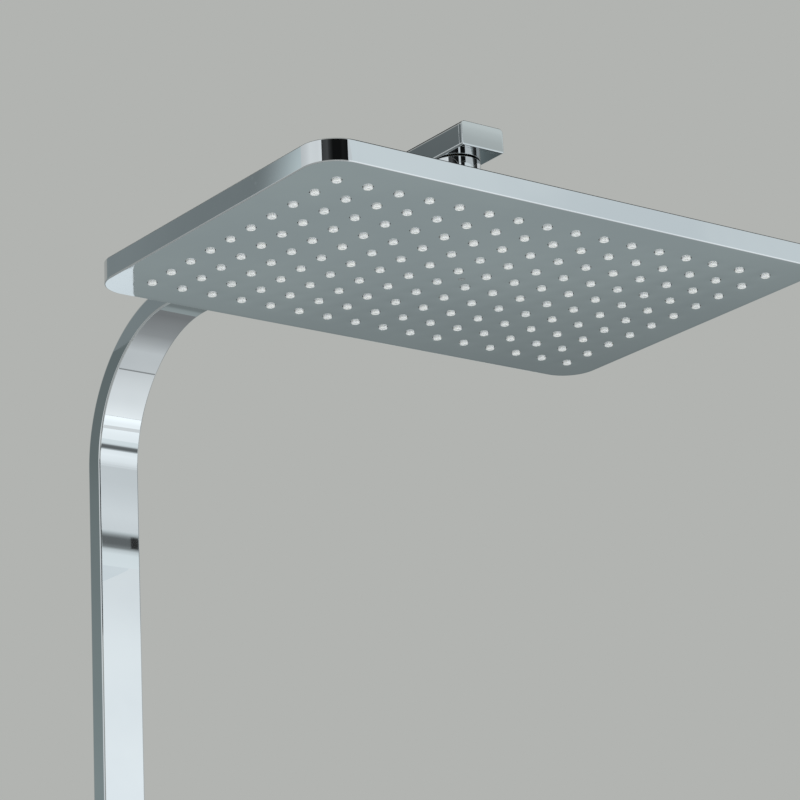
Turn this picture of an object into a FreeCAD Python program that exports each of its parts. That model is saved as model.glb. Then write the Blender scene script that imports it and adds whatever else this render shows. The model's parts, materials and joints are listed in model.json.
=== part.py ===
import FreeCAD, Part
import math
import os
import Sketcher
from FreeCAD import Placement, Rotation, Vector

# Thermostatic rain shower: a rectangular rain head on a ball joint, a bent flat riser,
# a wall bracket and an exposed thermostatic valve with its diverter.
# Frame: origin on the finished wall, midway between the two water supplies,
# +X to the right, +Y into the wall, +Z up. All sizes are in millimetres.

os.makedirs("parts", exist_ok=True)
doc = FreeCAD.newDocument("rain_shower")

LENGTHS = {
    # Where the assembly stands
    "supply_spacing": 150.0,
    "supply_drop": 8.0,
    "wall_offset": 65.0,
    "riser_rise": 1010.0,
    "arm_reach": 380.0,
    "arm_overhang": 26.0,
    "bracket_rise": 600.0,
    # Room left between pieces, and how far a cut runs past the metal
    "plain_gap": 0.1,
    "thread_gap": 0.05,
    "running_gap": 0.08,
    "rest_gap": 0.3,
    "seam_gap": 0.5,
    "overrun": 2.0,
    # Half-inch and three-quarter-inch pipe threads, and small screws
    "half_inch_radius": 10.48,
    "three_quarter_radius": 13.22,
    "small_screw_radius": 1.5,
    "small_screw_head_radius": 2.8,
    "small_screw_head_depth": 1.6,
    "screw_cross_reach": 1.7,
    "screw_cross_width": 0.8,
    "screw_cross_depth": 1.0,
    # Flat tube of the riser and arm
    "tube_width": 30.0,
    "tube_depth": 15.0,
    "tube_wall": 1.5,
    "tube_corner": 2.5,
    "bend_inner_radius": 85.0,
    # Rain head: nozzle field and shell
    "nozzle_pitch": 20.0,
    "nozzle_border": 25.0,
    "head_corner": 20.0,
    "face_thickness": 1.6,
    "rim_depth": 12.8,
    "rim_wall": 2.4,
    "rim_ledge": 1.2,
    "rim_edge": 0.6,
    "cover_thickness": 1.6,
    "cover_boss_rise": 6.0,
    "cover_boss_foot_radius": 45.0,
    "cover_boss_radius": 24.0,
    # Nozzles and mat
    "nozzle_reach": 1.2,
    "nozzle_tip_radius": 2.5,
    "nozzle_root_radius": 2.75,
    "nozzle_bore_radius": 0.7,
    "nozzle_hole_gap": 0.2,
    "mat_thickness": 2.0,
    "mat_corner": 8.0,
    # Water plate
    "chamber_height": 3.5,
    "chamber_margin": 4.0,
    "chamber_wall": 4.0,
    "plate_thickness": 2.5,
    "plate_side_gap": 4.6,
    "post_radius": 3.4,
    "post_pilot_radius": 1.25,
    "post_pilot_depth": 3.0,
    "seal_width": 2.0,
    "seal_depth": 1.6,
    "plate_boss_radius": 16.0,
    "centre_post_radius": 4.0,
    "centre_screw_length": 9.0,
    "plate_port_radius": 2.4,
    "plate_port_offset": 7.3,
    # Ball joint
    "ball_radius": 10.0,
    "ball_neck_radius": 5.0,
    "ball_bore_radius": 3.0,
    "slip_ring_wall": 1.4,
    "slip_ring_low": 1.0,
    "slip_ring_high": 3.8,
    "seat_wall": 1.9,
    "seat_low": 8.5,
    "seat_high": 2.6,
    "socket_flange": 3.0,
    "socket_flange_radius": 21.0,
    "socket_depth": 14.5,
    "socket_radius": 15.0,
    "socket_bore_radius": 6.0,
    "cap_radius": 17.5,
    "cap_top_radius": 14.0,
    "cap_skirt": 9.5,
    "cap_shoulder": 6.0,
    "cap_top": 9.0,
    "cap_lip_height": 7.6,
    "cap_lip_radius": 7.45,
    "stem_rise": 13.5,
    "stem_flange": 3.0,
    "swivel_nut_radius": 14.4,
    "swivel_nut_length": 20.0,
    "swivel_nut_lip": 2.5,
    "swivel_nut_edge": 0.5,
    "washer_thickness": 2.0,
    "washer_bore_radius": 6.0,
    "regulator_radius": 8.3,
    "regulator_depth": 3.5,
    "regulator_hole_radius": 1.1,
    "regulator_hole_offset": 5.2,
    "nipple_bore_radius": 7.0,
    "nipple_flange_radius": 12.5,
    "nipple_flange": 2.0,
    # Ends of the flat tube
    "end_cap_plate": 2.5,
    "end_cap_plug": 8.0,
    "end_cap_wall": 1.5,
    "foot_flange": 2.0,
    "foot_plug": 22.0,
    "foot_spigot_radius": 8.9,
    "foot_spigot_length": 19.0,
    "foot_bore_radius": 4.5,
    "o_ring_section": 0.9,
    "foot_ring_pitch": 3.6,
    "collar_radius": 17.0,
    "collar_rise": 12.0,
    "collar_thread_radius": 13.0,
    "collar_thread": 8.0,
    "collar_edge": 0.5,
    # Wall bracket
    "bracket_height": 28.0,
    "bracket_stem": 26.0,
    "bracket_wrap": 4.0,
    "bracket_corner": 4.0,
    "bracket_edge": 0.8,
    "spigot_radius": 9.0,
    "spigot_length": 20.0,
    "spigot_flange": 3.0,
    "spigot_flange_radius": 11.0,
    "wall_screw_radius": 2.5,
    "wall_screw_head_radius": 5.0,
    "wall_screw_head": 3.0,
    "wall_screw_seat": 10.0,
    "wall_screw_depth": 38.0,
    "wall_plug_radius": 4.0,
    "wall_plug_length": 40.0,
    "grub_radius": 2.5,
    "grub_length": 4.0,
    "grub_socket_radius": 1.4,
    "grub_socket_depth": 2.0,
    # Supply unions and inlets
    "stud_length": 14.0,
    "stud_bore_radius": 7.0,
    "union_root_radius": 13.5,
    "union_root_length": 10.0,
    "union_length": 27.5,
    "union_bore_radius": 8.0,
    "escutcheon_radius": 33.0,
    "escutcheon_edge": 3.0,
    "escutcheon_depth": 12.5,
    "escutcheon_neck": 4.5,
    "escutcheon_neck_wall": 2.2,
    "escutcheon_wall": 1.6,
    "escutcheon_slope_radius": 26.0,
    "union_nut_radius": 17.5,
    "union_nut_skirt": 10.5,
    "union_nut_lip": 3.0,
    "union_nut_edge": 0.8,
    "tail_flange": 2.5,
    "tail_flange_radius": 13.0,
    "tail_neck_radius": 9.6,
    "tail_bore_radius": 8.0,
    "tail_thread_radius": 12.0,
    "tail_thread": 6.0,
    "tail_mouth_radius": 6.0,
    "cage_wall": 1.3,
    "cage_length": 14.5,
    "cage_seat": 2.0,
    "cage_seat_radius": 4.0,
    "cage_guide": 2.0,
    "cage_window_offset": 5.1,
    "cage_window_radius": 1.0,
    "poppet_radius": 5.4,
    "poppet_head": 1.7,
    "poppet_stem_radius": 1.4,
    "poppet_stem": 10.5,
    "poppet_spring_radius": 2.6,
    "poppet_spring_wire": 0.35,
    # Valve body
    "mouth_reach": 29.0,
    "valve_section": 44.0,
    "valve_corner": 9.0,
    "valve_edge": 1.0,
    "mouth_radius": 17.0,
    "mouth_depth": 16.0,
    "thermo_bore_radius": 15.0,
    "gallery_reach": 15.0,
    "thermo_nose_radius": 12.0,
    "thermo_nose_depth": 25.0,
    "diverter_bore_radius": 15.5,
    "diverter_bore_depth": 16.0,
    "hot_channel_radius": 3.6,
    "hot_channel_offset": 12.0,
    "mixed_channel_radius": 5.0,
    "mixed_channel_offset": 4.0,
    "outlet_channel_radius": 2.8,
    "outlet_channel_offset": 9.5,
    "riser_port_radius": 9.0,
    "hose_port_radius": 10.0,
    "hose_port_depth": 8.0,
    "hose_port_bore_radius": 5.0,
    "hose_flange": 2.5,
    "hose_flange_radius": 12.5,
    "hose_thread": 11.5,
    # Cartridge nuts and spindles, alike at both ends
    "cartridge_nut_depth": 14.0,
    "cartridge_nut_bore": 7.0,
    "cartridge_hub": 8.0,
    "cartridge_hub_radius": 10.0,
    "spindle_flange": 3.5,
    "spline_radius": 4.5,
    "spline_length": 13.0,
    "spindle_tap_radius": 2.1,
    "spindle_tap_depth": 12.0,
    # Thermostatic cartridge
    "sleeve_bore_radius": 9.0,
    "sleeve_nose_wall": 3.0,
    "sleeve_nose_hole_radius": 5.0,
    "sleeve_groove_radius": 12.5,
    "sleeve_groove_width": 14.0,
    "sleeve_nose_groove_radius": 10.2,
    "sleeve_nose_groove_width": 12.0,
    "sleeve_port_radius": 2.2,
    "element_rod_radius": 3.4,
    "element_rod": 17.0,
    "element_cup_radius": 5.0,
    "element_cup": 20.0,
    "element_pin_radius": 2.0,
    "element_pin": 5.0,
    "shuttle_wall": 1.4,
    "shuttle_nose": 8.0,
    "shuttle_web": 3.0,
    "shuttle_tail": 19.0,
    "shuttle_window_radius": 1.1,
    "shuttle_window_offset": 6.3,
    "return_spring_radius": 6.2,
    "return_spring_wire": 0.6,
    "push_nut_length": 9.5,
    "push_nut_floor": 3.0,
    "drive_thread_radius": 5.0,
    "drive_end_gap": 2.52,
    # Stop ring of the temperature handle
    "stop_ring_gap": 1.0,
    "stop_ring_sleeve_radius": 11.9,
    "stop_ring_plate": 1.5,
    "stop_ring_plate_radius": 17.4,
    "stop_ring_depth": 5.0,
    "stop_lug_radius": 14.8,
    # Handles, alike at both ends
    "handle_gap": 1.5,
    "handle_radius": 21.0,
    "handle_length": 38.0,
    "handle_wall": 2.8,
    "handle_bevel": 1.5,
    "handle_hub_radius": 8.0,
    "handle_hub_setback": 5.0,
    "handle_seat": 4.0,
    "handle_end_wall": 4.0,
    "handle_cap_radius": 14.0,
    "handle_cap_depth": 4.0,
    "handle_cap_thickness": 3.4,
    "handle_access_radius": 5.2,
    "handle_screw_radius": 2.0,
    "handle_screw_head_radius": 4.2,
    "handle_screw_head": 3.5,
    "handle_screw_length": 13.0,
    "flute_radius": 1.6,
    "flute_setback": 6.0,
    "flute_inset": 0.9,
    "fin_width": 5.0,
    "fin_rise": 6.0,
    "fin_length": 26.0,
    # Safety button in the temperature handle
    "button_radius": 4.0,
    "button_proud": 2.0,
    "button_edge": 0.5,
    "button_foot": 15.1,
    "button_travel": 3.0,
    "button_stem_radius": 1.4,
    "button_setback": 18.0,
    "catch_width": 3.0,
    "catch_depth": 2.2,
    "button_spring_radius": 2.3,
    "button_spring_wire": 0.3,
    # Diverter
    "diverter_floor": 2.0,
    "diverter_sleeve_wall": 2.8,
    "disc_radius": 12.4,
    "disc_thickness": 3.8,
    "disc_pocket_depth": 2.0,
}

COUNTS = {
    "nozzle_columns_count": 16,
    "nozzle_rows_count": 10,
    "screw_columns_count": 5,
    "screw_rows_count": 2,
    "supplies_count": 2,
    "plate_ports_count": 6,
    "regulator_holes_count": 6,
    "sleeve_ports_count": 6,
    "cage_windows_count": 3,
    "flutes_count": 24,
    "nut_sides_count": 6,
    "poppet_spring_turns_count": 5,
    "return_spring_turns_count": 6,
    "button_spring_turns_count": 4,
    "shuttle_windows_count": 8,
}

ANGLES = {
    "stop_lug_angle": 20.0,
    "stop_lug_lead_angle": 7.0,
    "handle_travel_angle": 180.0,
}

sheet = doc.addObject("Spreadsheet::Sheet", "Sizes")


class Size:
    """A number of the sheet, or one worked out from it, with the expression that gives it."""

    def __init__(self, value, text):
        self.value = value
        self.text = text

    def __add__(self, other):
        return Size(self.value + amount(other), f"({self.text} + {wording(other)})")

    def __radd__(self, other):
        return Size(amount(other) + self.value, f"({wording(other)} + {self.text})")

    def __sub__(self, other):
        return Size(self.value - amount(other), f"({self.text} - {wording(other)})")

    def __rsub__(self, other):
        return Size(amount(other) - self.value, f"({wording(other)} - {self.text})")

    def __mul__(self, other):
        return Size(self.value * amount(other), f"({self.text} * {wording(other)})")

    def __truediv__(self, other):
        return Size(self.value / amount(other), f"({self.text} / {wording(other)})")

    def __neg__(self):
        return Size(-self.value, f"(0 - {self.text})")


def amount(item):
    """The number that a size, or a plain number, stands for."""
    return item.value if isinstance(item, Size) else item


def wording(item):
    """The expression of a size, or of a plain number."""
    return item.text if isinstance(item, Size) else str(item)


class Sizes:
    """Every value of the sheet under its own name."""


s = Sizes()
for row, (alias, number) in enumerate({**LENGTHS, **COUNTS, **ANGLES}.items(), start=1):
    sheet.set(f"A{row}", alias.replace("_", " "))
    sheet.set(f"B{row}", str(number))
    sheet.setAlias(f"B{row}", alias)
    setattr(s, alias, Size(number, f"Sizes.{alias}"))
doc.recompute()

# Turning a piece whose own axis is Z so that it points another way
UPRIGHT = Rotation()
TO_RIGHT = Rotation(Vector(0, 1, 0), 90)
TO_LEFT = Rotation(Vector(0, 1, 0), -90)
TO_FRONT = Rotation(Vector(1, 0, 0), 90)
TO_BACK = Rotation(Vector(1, 0, 0), -90)
TO_FLOOR = Rotation(Vector(1, 0, 0), 180)

pieces = {}


# Helpers: placing, sketching and the features made from sketches


def origin_part(body, role):
    """One of a body's own planes or axes, by its role."""
    return next(item for item in body.Origin.OriginFeatures if item.Role == role)


def bind(item, path, size):
    """Set one property of an object from the sheet."""
    item.setExpression(path, wording(size))


def put(item, place, turn=UPRIGHT):
    """Put an object at a place of the row's frame, turned as asked."""
    item.Placement = Placement(Vector(*(amount(part) for part in place)), turn)
    for letter, part in zip("xyz", place):
        if isinstance(part, Size):
            bind(item, f".Placement.Base.{letter}", part)


def keep(item, label):
    """Name a finished sub-part, which also names its file."""
    item.Label = label
    pieces[label] = item
    return item


def new_body(name):
    return doc.addObject("PartDesign::Body", name)


def new_sketch(body, role="XY_Plane", height=0):
    """A sketch on one of the body's own planes, moved along the plane's normal by height."""
    sketch = body.newObject("Sketcher::SketchObject", body.Name + "_sketch")
    sketch.AttachmentSupport = [(origin_part(body, role), "")]
    sketch.MapMode = "FlatFace"
    if isinstance(height, Size):
        sketch.AttachmentOffset = Placement(Vector(0, 0, height.value), Rotation())
        bind(sketch, ".AttachmentOffset.Base.z", height)
    return sketch


def hold_point(sketch, geometry, vertex, x, y):
    """Hold a point of a sketch at a place given by the sheet."""
    for kind, part, axis in (("DistanceX", x, -2), ("DistanceY", y, -1)):
        if isinstance(part, Size):
            index = sketch.addConstraint(Sketcher.Constraint(kind, -1, 1, geometry, vertex, part.value))
            bind(sketch, f"Constraints[{index}]", part)
        else:
            sketch.addConstraint(Sketcher.Constraint("PointOnObject", geometry, vertex, axis))


def hold_radius(sketch, geometry, radius):
    index = sketch.addConstraint(Sketcher.Constraint("Radius", geometry, radius.value))
    bind(sketch, f"Constraints[{index}]", radius)


def draw_outline(sketch, corners):
    """Draw a closed outline of straight sides through corners held by the sheet."""
    first = sketch.GeometryCount
    points = [Vector(amount(x), amount(y), 0) for x, y in corners]
    for index, point in enumerate(points):
        following = points[(index + 1) % len(points)]
        sketch.addGeometry(Part.LineSegment(point, following), False)
    for index, (x, y) in enumerate(corners):
        following = first + (index + 1) % len(corners)
        sketch.addConstraint(Sketcher.Constraint("Coincident", first + index, 2, following, 1))
        hold_point(sketch, first + index, 1, x, y)


def draw_circle(sketch, radius, x=0, y=0):
    centre = Vector(amount(x), amount(y), 0)
    circle = Part.Circle(centre, Vector(0, 0, 1), radius.value)
    index = sketch.addGeometry(circle, False)
    hold_point(sketch, index, 3, x, y)
    hold_radius(sketch, index, radius)


def draw_rounded_rectangle(sketch, length, width, corner, x=0, y=0):
    """Four sides joined by four tangent corner arcs about a centre."""
    reach_x = length / 2 - corner
    reach_y = width / 2 - corner
    signs = ((1, -1), (1, 1), (-1, 1), (-1, -1))
    arcs = []
    ends = []
    for index, (sign_x, sign_y) in enumerate(signs):
        centre_x = x + reach_x * sign_x
        centre_y = y + reach_y * sign_y
        centre = Vector(centre_x.value, centre_y.value, 0)
        start = math.radians(90 * (index - 1))
        circle = Part.Circle(centre, Vector(0, 0, 1), corner.value)
        arc = sketch.addGeometry(Part.ArcOfCircle(circle, start, start + math.pi / 2), False)
        hold_point(sketch, arc, 3, centre_x, centre_y)
        hold_radius(sketch, arc, corner)
        arcs.append(arc)
        angles = (start, start + math.pi / 2)
        ends.append([centre + Vector(math.cos(a), math.sin(a), 0) * corner.value for a in angles])
    for index in range(len(signs)):
        following = (index + 1) % len(signs)
        side = sketch.addGeometry(Part.LineSegment(ends[index][1], ends[following][0]), False)
        sketch.addConstraint(Sketcher.Constraint("Tangent", arcs[index], 2, side, 1))
        sketch.addConstraint(Sketcher.Constraint("Tangent", side, 2, arcs[following], 1))


def pad(body, sketch, length, reversed_way=False, midplane=False):
    feature = body.newObject("PartDesign::Pad", body.Name + "_pad")
    feature.Profile = sketch
    feature.Midplane = midplane
    feature.Reversed = reversed_way
    bind(feature, "Length", length)
    return feature


def pocket(body, sketch, length, reversed_way=False, midplane=False):
    """Cut along the sketch's normal downwards, or upwards when reversed."""
    feature = body.newObject("PartDesign::Pocket", body.Name + "_pocket")
    feature.Profile = sketch
    feature.Midplane = midplane
    feature.Reversed = reversed_way
    bind(feature, "Length", length)
    return feature


def spin(body, sketch, axis="V_Axis", cut=False):
    """Turn a sketch a full circle about one of its own axes, as metal or as a cut."""
    kind = "Groove" if cut else "Revolution"
    feature = body.newObject("PartDesign::" + kind, body.Name + "_" + kind.lower())
    feature.Profile = sketch
    feature.ReferenceAxis = (sketch, [axis])
    feature.Angle = 360
    return feature


def soften(body, radius):
    """Round every edge that the body has so far."""
    base = body.Tip
    feature = body.newObject("PartDesign::Fillet", body.Name + "_fillet")
    feature.Base = (base, [""])
    feature.UseAllEdges = True
    bind(feature, "Radius", radius)
    return feature


def repeat(body, features, runs):
    """Repeat features along the body's own axes: each run is an axis, a whole length and a count."""
    pattern = body.newObject("PartDesign::MultiTransform", body.Name + "_grid")
    pattern.Originals = features
    steps = []
    for role, length, count in runs:
        step = body.newObject("PartDesign::LinearPattern", body.Name + "_run")
        step.Direction = (origin_part(body, role), [""])
        bind(step, "Length", length)
        bind(step, "Occurrences", count)
        steps.append(step)
    pattern.Transformations = steps
    body.Tip = pattern
    return pattern


def ring_of(body, features, count, role="Z_Axis"):
    """Repeat features round one of the body's own axes."""
    pattern = body.newObject("PartDesign::PolarPattern", body.Name + "_ring")
    pattern.Originals = features
    pattern.Axis = (origin_part(body, role), [""])
    pattern.Angle = 360
    bind(pattern, "Occurrences", count)
    body.Tip = pattern
    return pattern


def ring_outline(inner, outer, low, high):
    """Outline of a plain ring or disc, from its radii and its two end heights."""
    return [(inner, low), (outer, low), (outer, high), (inner, high)]


def turned_body(name, outline):
    """A body turned about its own Z axis from an outline of radius and height."""
    body = new_body(name)
    sketch = new_sketch(body, "XZ_Plane")
    draw_outline(sketch, outline)
    spin(body, sketch)
    return body


def turned_cut(body, outline):
    """Turn an outline of radius and height about the body's Z axis and cut it away."""
    sketch = new_sketch(body, "XZ_Plane")
    draw_outline(sketch, outline)
    return spin(body, sketch, cut=True)


def rounded_prism(body, length, width, corner, low, high):
    """Pad a rounded rectangle between two heights."""
    sketch = new_sketch(body, "XY_Plane", low)
    draw_rounded_rectangle(sketch, length, width, corner)
    return pad(body, sketch, high - low)


def rounded_cut(body, length, width, corner, low, high):
    """Cut a rounded rectangle between two heights."""
    sketch = new_sketch(body, "XY_Plane", high)
    draw_rounded_rectangle(sketch, length, width, corner)
    return pocket(body, sketch, high - low)


def round_hole(body, radius, x, y, low, high):
    """Cut a round hole along Z between two heights."""
    sketch = new_sketch(body, "XY_Plane", high)
    draw_circle(sketch, radius, x, y)
    return pocket(body, sketch, high - low)


def ball(body, radius, height, cut=False):
    """Add or take away a sphere on the body's Z axis."""
    kind = "SubtractiveSphere" if cut else "AdditiveSphere"
    feature = body.newObject("PartDesign::" + kind, body.Name + "_ball")
    feature.AttachmentSupport = [(origin_part(body, "XY_Plane"), "")]
    feature.MapMode = "FlatFace"
    bind(feature, "Radius", radius)
    bind(feature, ".AttachmentOffset.Base.z", height)
    return feature


def coil(name, coil_radius, wire_radius, low, high, turns):
    """An open coil spring about its own Z axis, wound between two heights."""
    body = new_body(name)
    sketch = new_sketch(body, "XZ_Plane")
    draw_circle(sketch, wire_radius, coil_radius, low + wire_radius)
    helix = body.newObject("PartDesign::AdditiveHelix", name + "_helix")
    helix.Profile = sketch
    helix.ReferenceAxis = (sketch, ["V_Axis"])
    helix.Mode = "height-turns-angle"
    bind(helix, "Height", high - low - wire_radius * 2)
    bind(helix, "Turns", turns)
    return body


def o_ring(name, bore_radius, place, turn):
    """A round-section ring that just clears the bore it seals."""
    torus = doc.addObject("Part::Torus", name)
    bind(torus, "Radius1", bore_radius - s.o_ring_section - s.thread_gap)
    bind(torus, "Radius2", s.o_ring_section)
    put(torus, place, turn)
    return torus


def group(label, members):
    """Identical pieces that share one node."""
    compound = doc.addObject("Part::Compound", label)
    compound.Links = members
    return keep(compound, label)


# Heights of the head's layers, above the plane of the nozzle tips

field_length = (s.nozzle_columns_count - 1) * s.nozzle_pitch
field_width = (s.nozzle_rows_count - 1) * s.nozzle_pitch
head_length = field_length + s.nozzle_border * 2
head_width = field_width + s.nozzle_border * 2
face_low = s.nozzle_reach
face_high = face_low + s.face_thickness
mat_high = face_high + s.mat_thickness
plate_low = mat_high + s.chamber_height
plate_high = plate_low + s.plate_thickness
rim_high = face_low + s.rim_depth
cover_low = rim_high - s.cover_thickness
boss_high = rim_high + s.cover_boss_rise
ball_height = boss_high + s.socket_flange + s.socket_depth
nut_low = ball_height + s.stem_rise
nut_high = nut_low + s.swivel_nut_length
arm_underside = nut_high + s.seam_gap

# Places of the sub-assemblies in the row's frame

valve_place = (0, -s.wall_offset, -s.supply_drop)
valve_half = s.valve_section / 2
foot_low = valve_half + s.collar_rise
tube_low = foot_low + s.foot_flange
riser_place = (0, -s.wall_offset, tube_low - s.supply_drop)
arm_centre = tube_low - s.supply_drop + s.riser_rise
tip_height = arm_centre - s.tube_depth / 2 - arm_underside
head_place = (0, -s.wall_offset - s.arm_reach, tip_height)

chamber_length = field_length + s.chamber_margin * 2
chamber_width = field_width + s.chamber_margin * 2
mat_length = chamber_length + s.chamber_wall * 2
mat_width = chamber_width + s.chamber_wall * 2
plate_length = head_length - (s.rim_wall + s.plate_side_gap) * 2
plate_width = head_width - (s.rim_wall + s.plate_side_gap) * 2
post_x = (mat_length + plate_length) / 4
post_y = (mat_width + plate_width) / 4
post_runs = [
    ("X_Axis", post_x * 2, s.screw_columns_count),
    ("Y_Axis", post_y * 2, s.screw_rows_count),
]
nozzle_runs = [
    ("X_Axis", field_length, s.nozzle_columns_count),
    ("Y_Axis", field_width, s.nozzle_rows_count),
]


# Rain head


def make_head_face():
    """Chromed tray: the pierced face and its rim, with screw posts inside."""
    body = new_body("head_face")
    rounded_prism(body, head_length, head_width, s.head_corner, face_low, rim_high)
    soften(body, s.rim_edge)
    inner_corner = s.head_corner - s.rim_wall
    inner_length = head_length - s.rim_wall * 2
    inner_width = head_width - s.rim_wall * 2
    rounded_cut(body, inner_length, inner_width, inner_corner, face_high, rim_high + s.overrun)
    step = s.rim_wall - s.rim_ledge
    ledge_corner = s.head_corner - step
    ledge_length = head_length - step * 2
    ledge_width = head_width - step * 2
    rounded_cut(body, ledge_length, ledge_width, ledge_corner, cover_low, rim_high + s.overrun)
    post = new_sketch(body, "XY_Plane", face_high)
    draw_circle(post, s.post_radius, -post_x, -post_y)
    post_pad = pad(body, post, plate_low - face_high)
    pilot = round_hole(
        body, s.post_pilot_radius, -post_x, -post_y, plate_low - s.post_pilot_depth, plate_low
    )
    repeat(body, [post_pad, pilot], post_runs)
    hole_radius = s.nozzle_root_radius + s.nozzle_hole_gap
    hole = round_hole(
        body, hole_radius, -field_length / 2, -field_width / 2, face_low - s.overrun, face_high
    )
    repeat(body, [hole], nozzle_runs)
    sink = s.small_screw_head_radius + s.plain_gap
    shank = s.small_screw_radius + s.plain_gap
    turned_cut(body, [
        (0, face_low),
        (sink, face_low),
        (shank, face_low + s.small_screw_head_depth),
        (shank, face_high + s.overrun),
        (0, face_high + s.overrun),
    ])
    put(body, head_place)
    keep(body, "head_face")


def make_nozzle_mat():
    """Silicone mat whose tips stand out through the face."""
    body = new_body("nozzle_mat")
    rounded_prism(body, mat_length, mat_width, s.mat_corner, face_high, mat_high)
    nozzle = body.newObject("PartDesign::AdditiveCone", "nozzle_cone")
    nozzle.AttachmentSupport = [(origin_part(body, "XY_Plane"), "")]
    nozzle.MapMode = "FlatFace"
    bind(nozzle, "Radius1", s.nozzle_tip_radius)
    bind(nozzle, "Radius2", s.nozzle_root_radius)
    bind(nozzle, "Height", face_high)
    bind(nozzle, ".AttachmentOffset.Base.x", -field_length / 2)
    bind(nozzle, ".AttachmentOffset.Base.y", -field_width / 2)
    bore = round_hole(
        body, s.nozzle_bore_radius, -field_length / 2, -field_width / 2, -s.overrun, mat_high
    )
    repeat(body, [nozzle, bore], nozzle_runs)
    round_hole(body, s.centre_post_radius + s.plain_gap, 0, 0, face_high - s.overrun, mat_high)
    put(body, head_place)
    keep(body, "nozzle_mat")


def make_water_plate():
    """Back wall of the water chamber, screwed down on the mat, with the inlet boss."""
    body = new_body("water_plate")
    corner = s.head_corner - s.rim_wall - s.plate_side_gap
    rounded_prism(body, plate_length, plate_width, corner, plate_low, plate_high)
    wall = new_sketch(body, "XY_Plane", mat_high)
    draw_rounded_rectangle(wall, mat_length, mat_width, s.mat_corner)
    draw_rounded_rectangle(wall, chamber_length, chamber_width, s.mat_corner - s.chamber_wall)
    pad(body, wall, plate_low - mat_high)
    groove_depth = s.seal_depth
    groove = new_sketch(body, "XY_Plane", mat_high)
    side = (s.chamber_wall - s.seal_width) / 2
    outer_corner = s.mat_corner - side
    draw_rounded_rectangle(groove, mat_length - side * 2, mat_width - side * 2, outer_corner)
    inner = side + s.seal_width
    draw_rounded_rectangle(groove, mat_length - inner * 2, mat_width - inner * 2, s.mat_corner - inner)
    pocket(body, groove, groove_depth, reversed_way=True)
    boss = new_sketch(body, "XZ_Plane")
    draw_outline(boss, ring_outline(0, s.plate_boss_radius, plate_high, boss_high - s.cover_thickness))
    spin(body, boss)
    post = new_sketch(body, "XZ_Plane")
    draw_outline(post, ring_outline(0, s.centre_post_radius, face_high, plate_low))
    spin(body, post)
    inlet_high = boss_high + s.overrun
    turned_cut(body, ring_outline(0, s.half_inch_radius + s.thread_gap, plate_high, inlet_high))
    pilot = s.small_screw_radius - s.thread_gap
    pilot_high = face_high + s.centre_screw_length
    turned_cut(body, ring_outline(0, pilot, face_high - s.overrun, pilot_high))
    port = round_hole(
        body, s.plate_port_radius, s.plate_port_offset, 0, plate_low - s.overrun, plate_high + s.overrun
    )
    ring_of(body, [port], s.plate_ports_count)
    clearance = s.small_screw_radius + s.plain_gap
    hole = round_hole(body, clearance, -post_x, -post_y, plate_low - s.overrun, plate_high + s.overrun)
    repeat(body, [hole], post_runs)
    put(body, head_place)
    keep(body, "water_plate")


def make_chamber_seal():
    """Square rubber cord in the groove of the chamber wall."""
    body = new_body("chamber_seal")
    side = (s.chamber_wall - s.seal_width) / 2 + s.plain_gap
    inner = (s.chamber_wall + s.seal_width) / 2 - s.plain_gap
    sketch = new_sketch(body, "XY_Plane", mat_high)
    draw_rounded_rectangle(sketch, mat_length - side * 2, mat_width - side * 2, s.mat_corner - side)
    draw_rounded_rectangle(sketch, mat_length - inner * 2, mat_width - inner * 2, s.mat_corner - inner)
    pad(body, sketch, s.seal_depth - s.plain_gap)
    put(body, head_place)
    keep(body, "chamber_seal")


def make_plate_screws():
    """Screws that hold the water plate to the posts of the face."""
    body = new_body("plate_screws")
    head = new_sketch(body, "XY_Plane", plate_high)
    draw_circle(head, s.small_screw_head_radius, -post_x, -post_y)
    head_pad = pad(body, head, s.small_screw_head_depth)
    shank = new_sketch(body, "XY_Plane", plate_high)
    draw_circle(shank, s.post_pilot_radius - s.thread_gap, -post_x, -post_y)
    reach = s.plate_thickness + s.post_pilot_depth - s.plain_gap
    shank_pad = pad(body, shank, reach, reversed_way=True)
    repeat(body, [head_pad, shank_pad], post_runs)
    put(body, head_place)
    keep(body, "plate_screws")


def make_centre_screw():
    """Countersunk cross-head screw in the middle of the face."""
    radius = s.small_screw_radius - s.plain_gap
    body = turned_body("centre_screw", [
        (0, face_low),
        (s.small_screw_head_radius, face_low),
        (radius, face_low + s.small_screw_head_depth),
        (radius, face_high + s.centre_screw_length - s.plain_gap),
        (0, face_high + s.centre_screw_length - s.plain_gap),
    ])
    half = s.screw_cross_width / 2
    reach = s.screw_cross_reach
    recess = new_sketch(body, "XY_Plane", face_low + s.screw_cross_depth)
    draw_outline(recess, [
        (-reach, -half), (-half, -half), (-half, -reach), (half, -reach),
        (half, -half), (reach, -half), (reach, half), (half, half),
        (half, reach), (-half, reach), (-half, half), (-reach, half),
    ])
    pocket(body, recess, s.screw_cross_depth + s.overrun)
    put(body, head_place)
    keep(body, "centre_screw")


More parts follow.
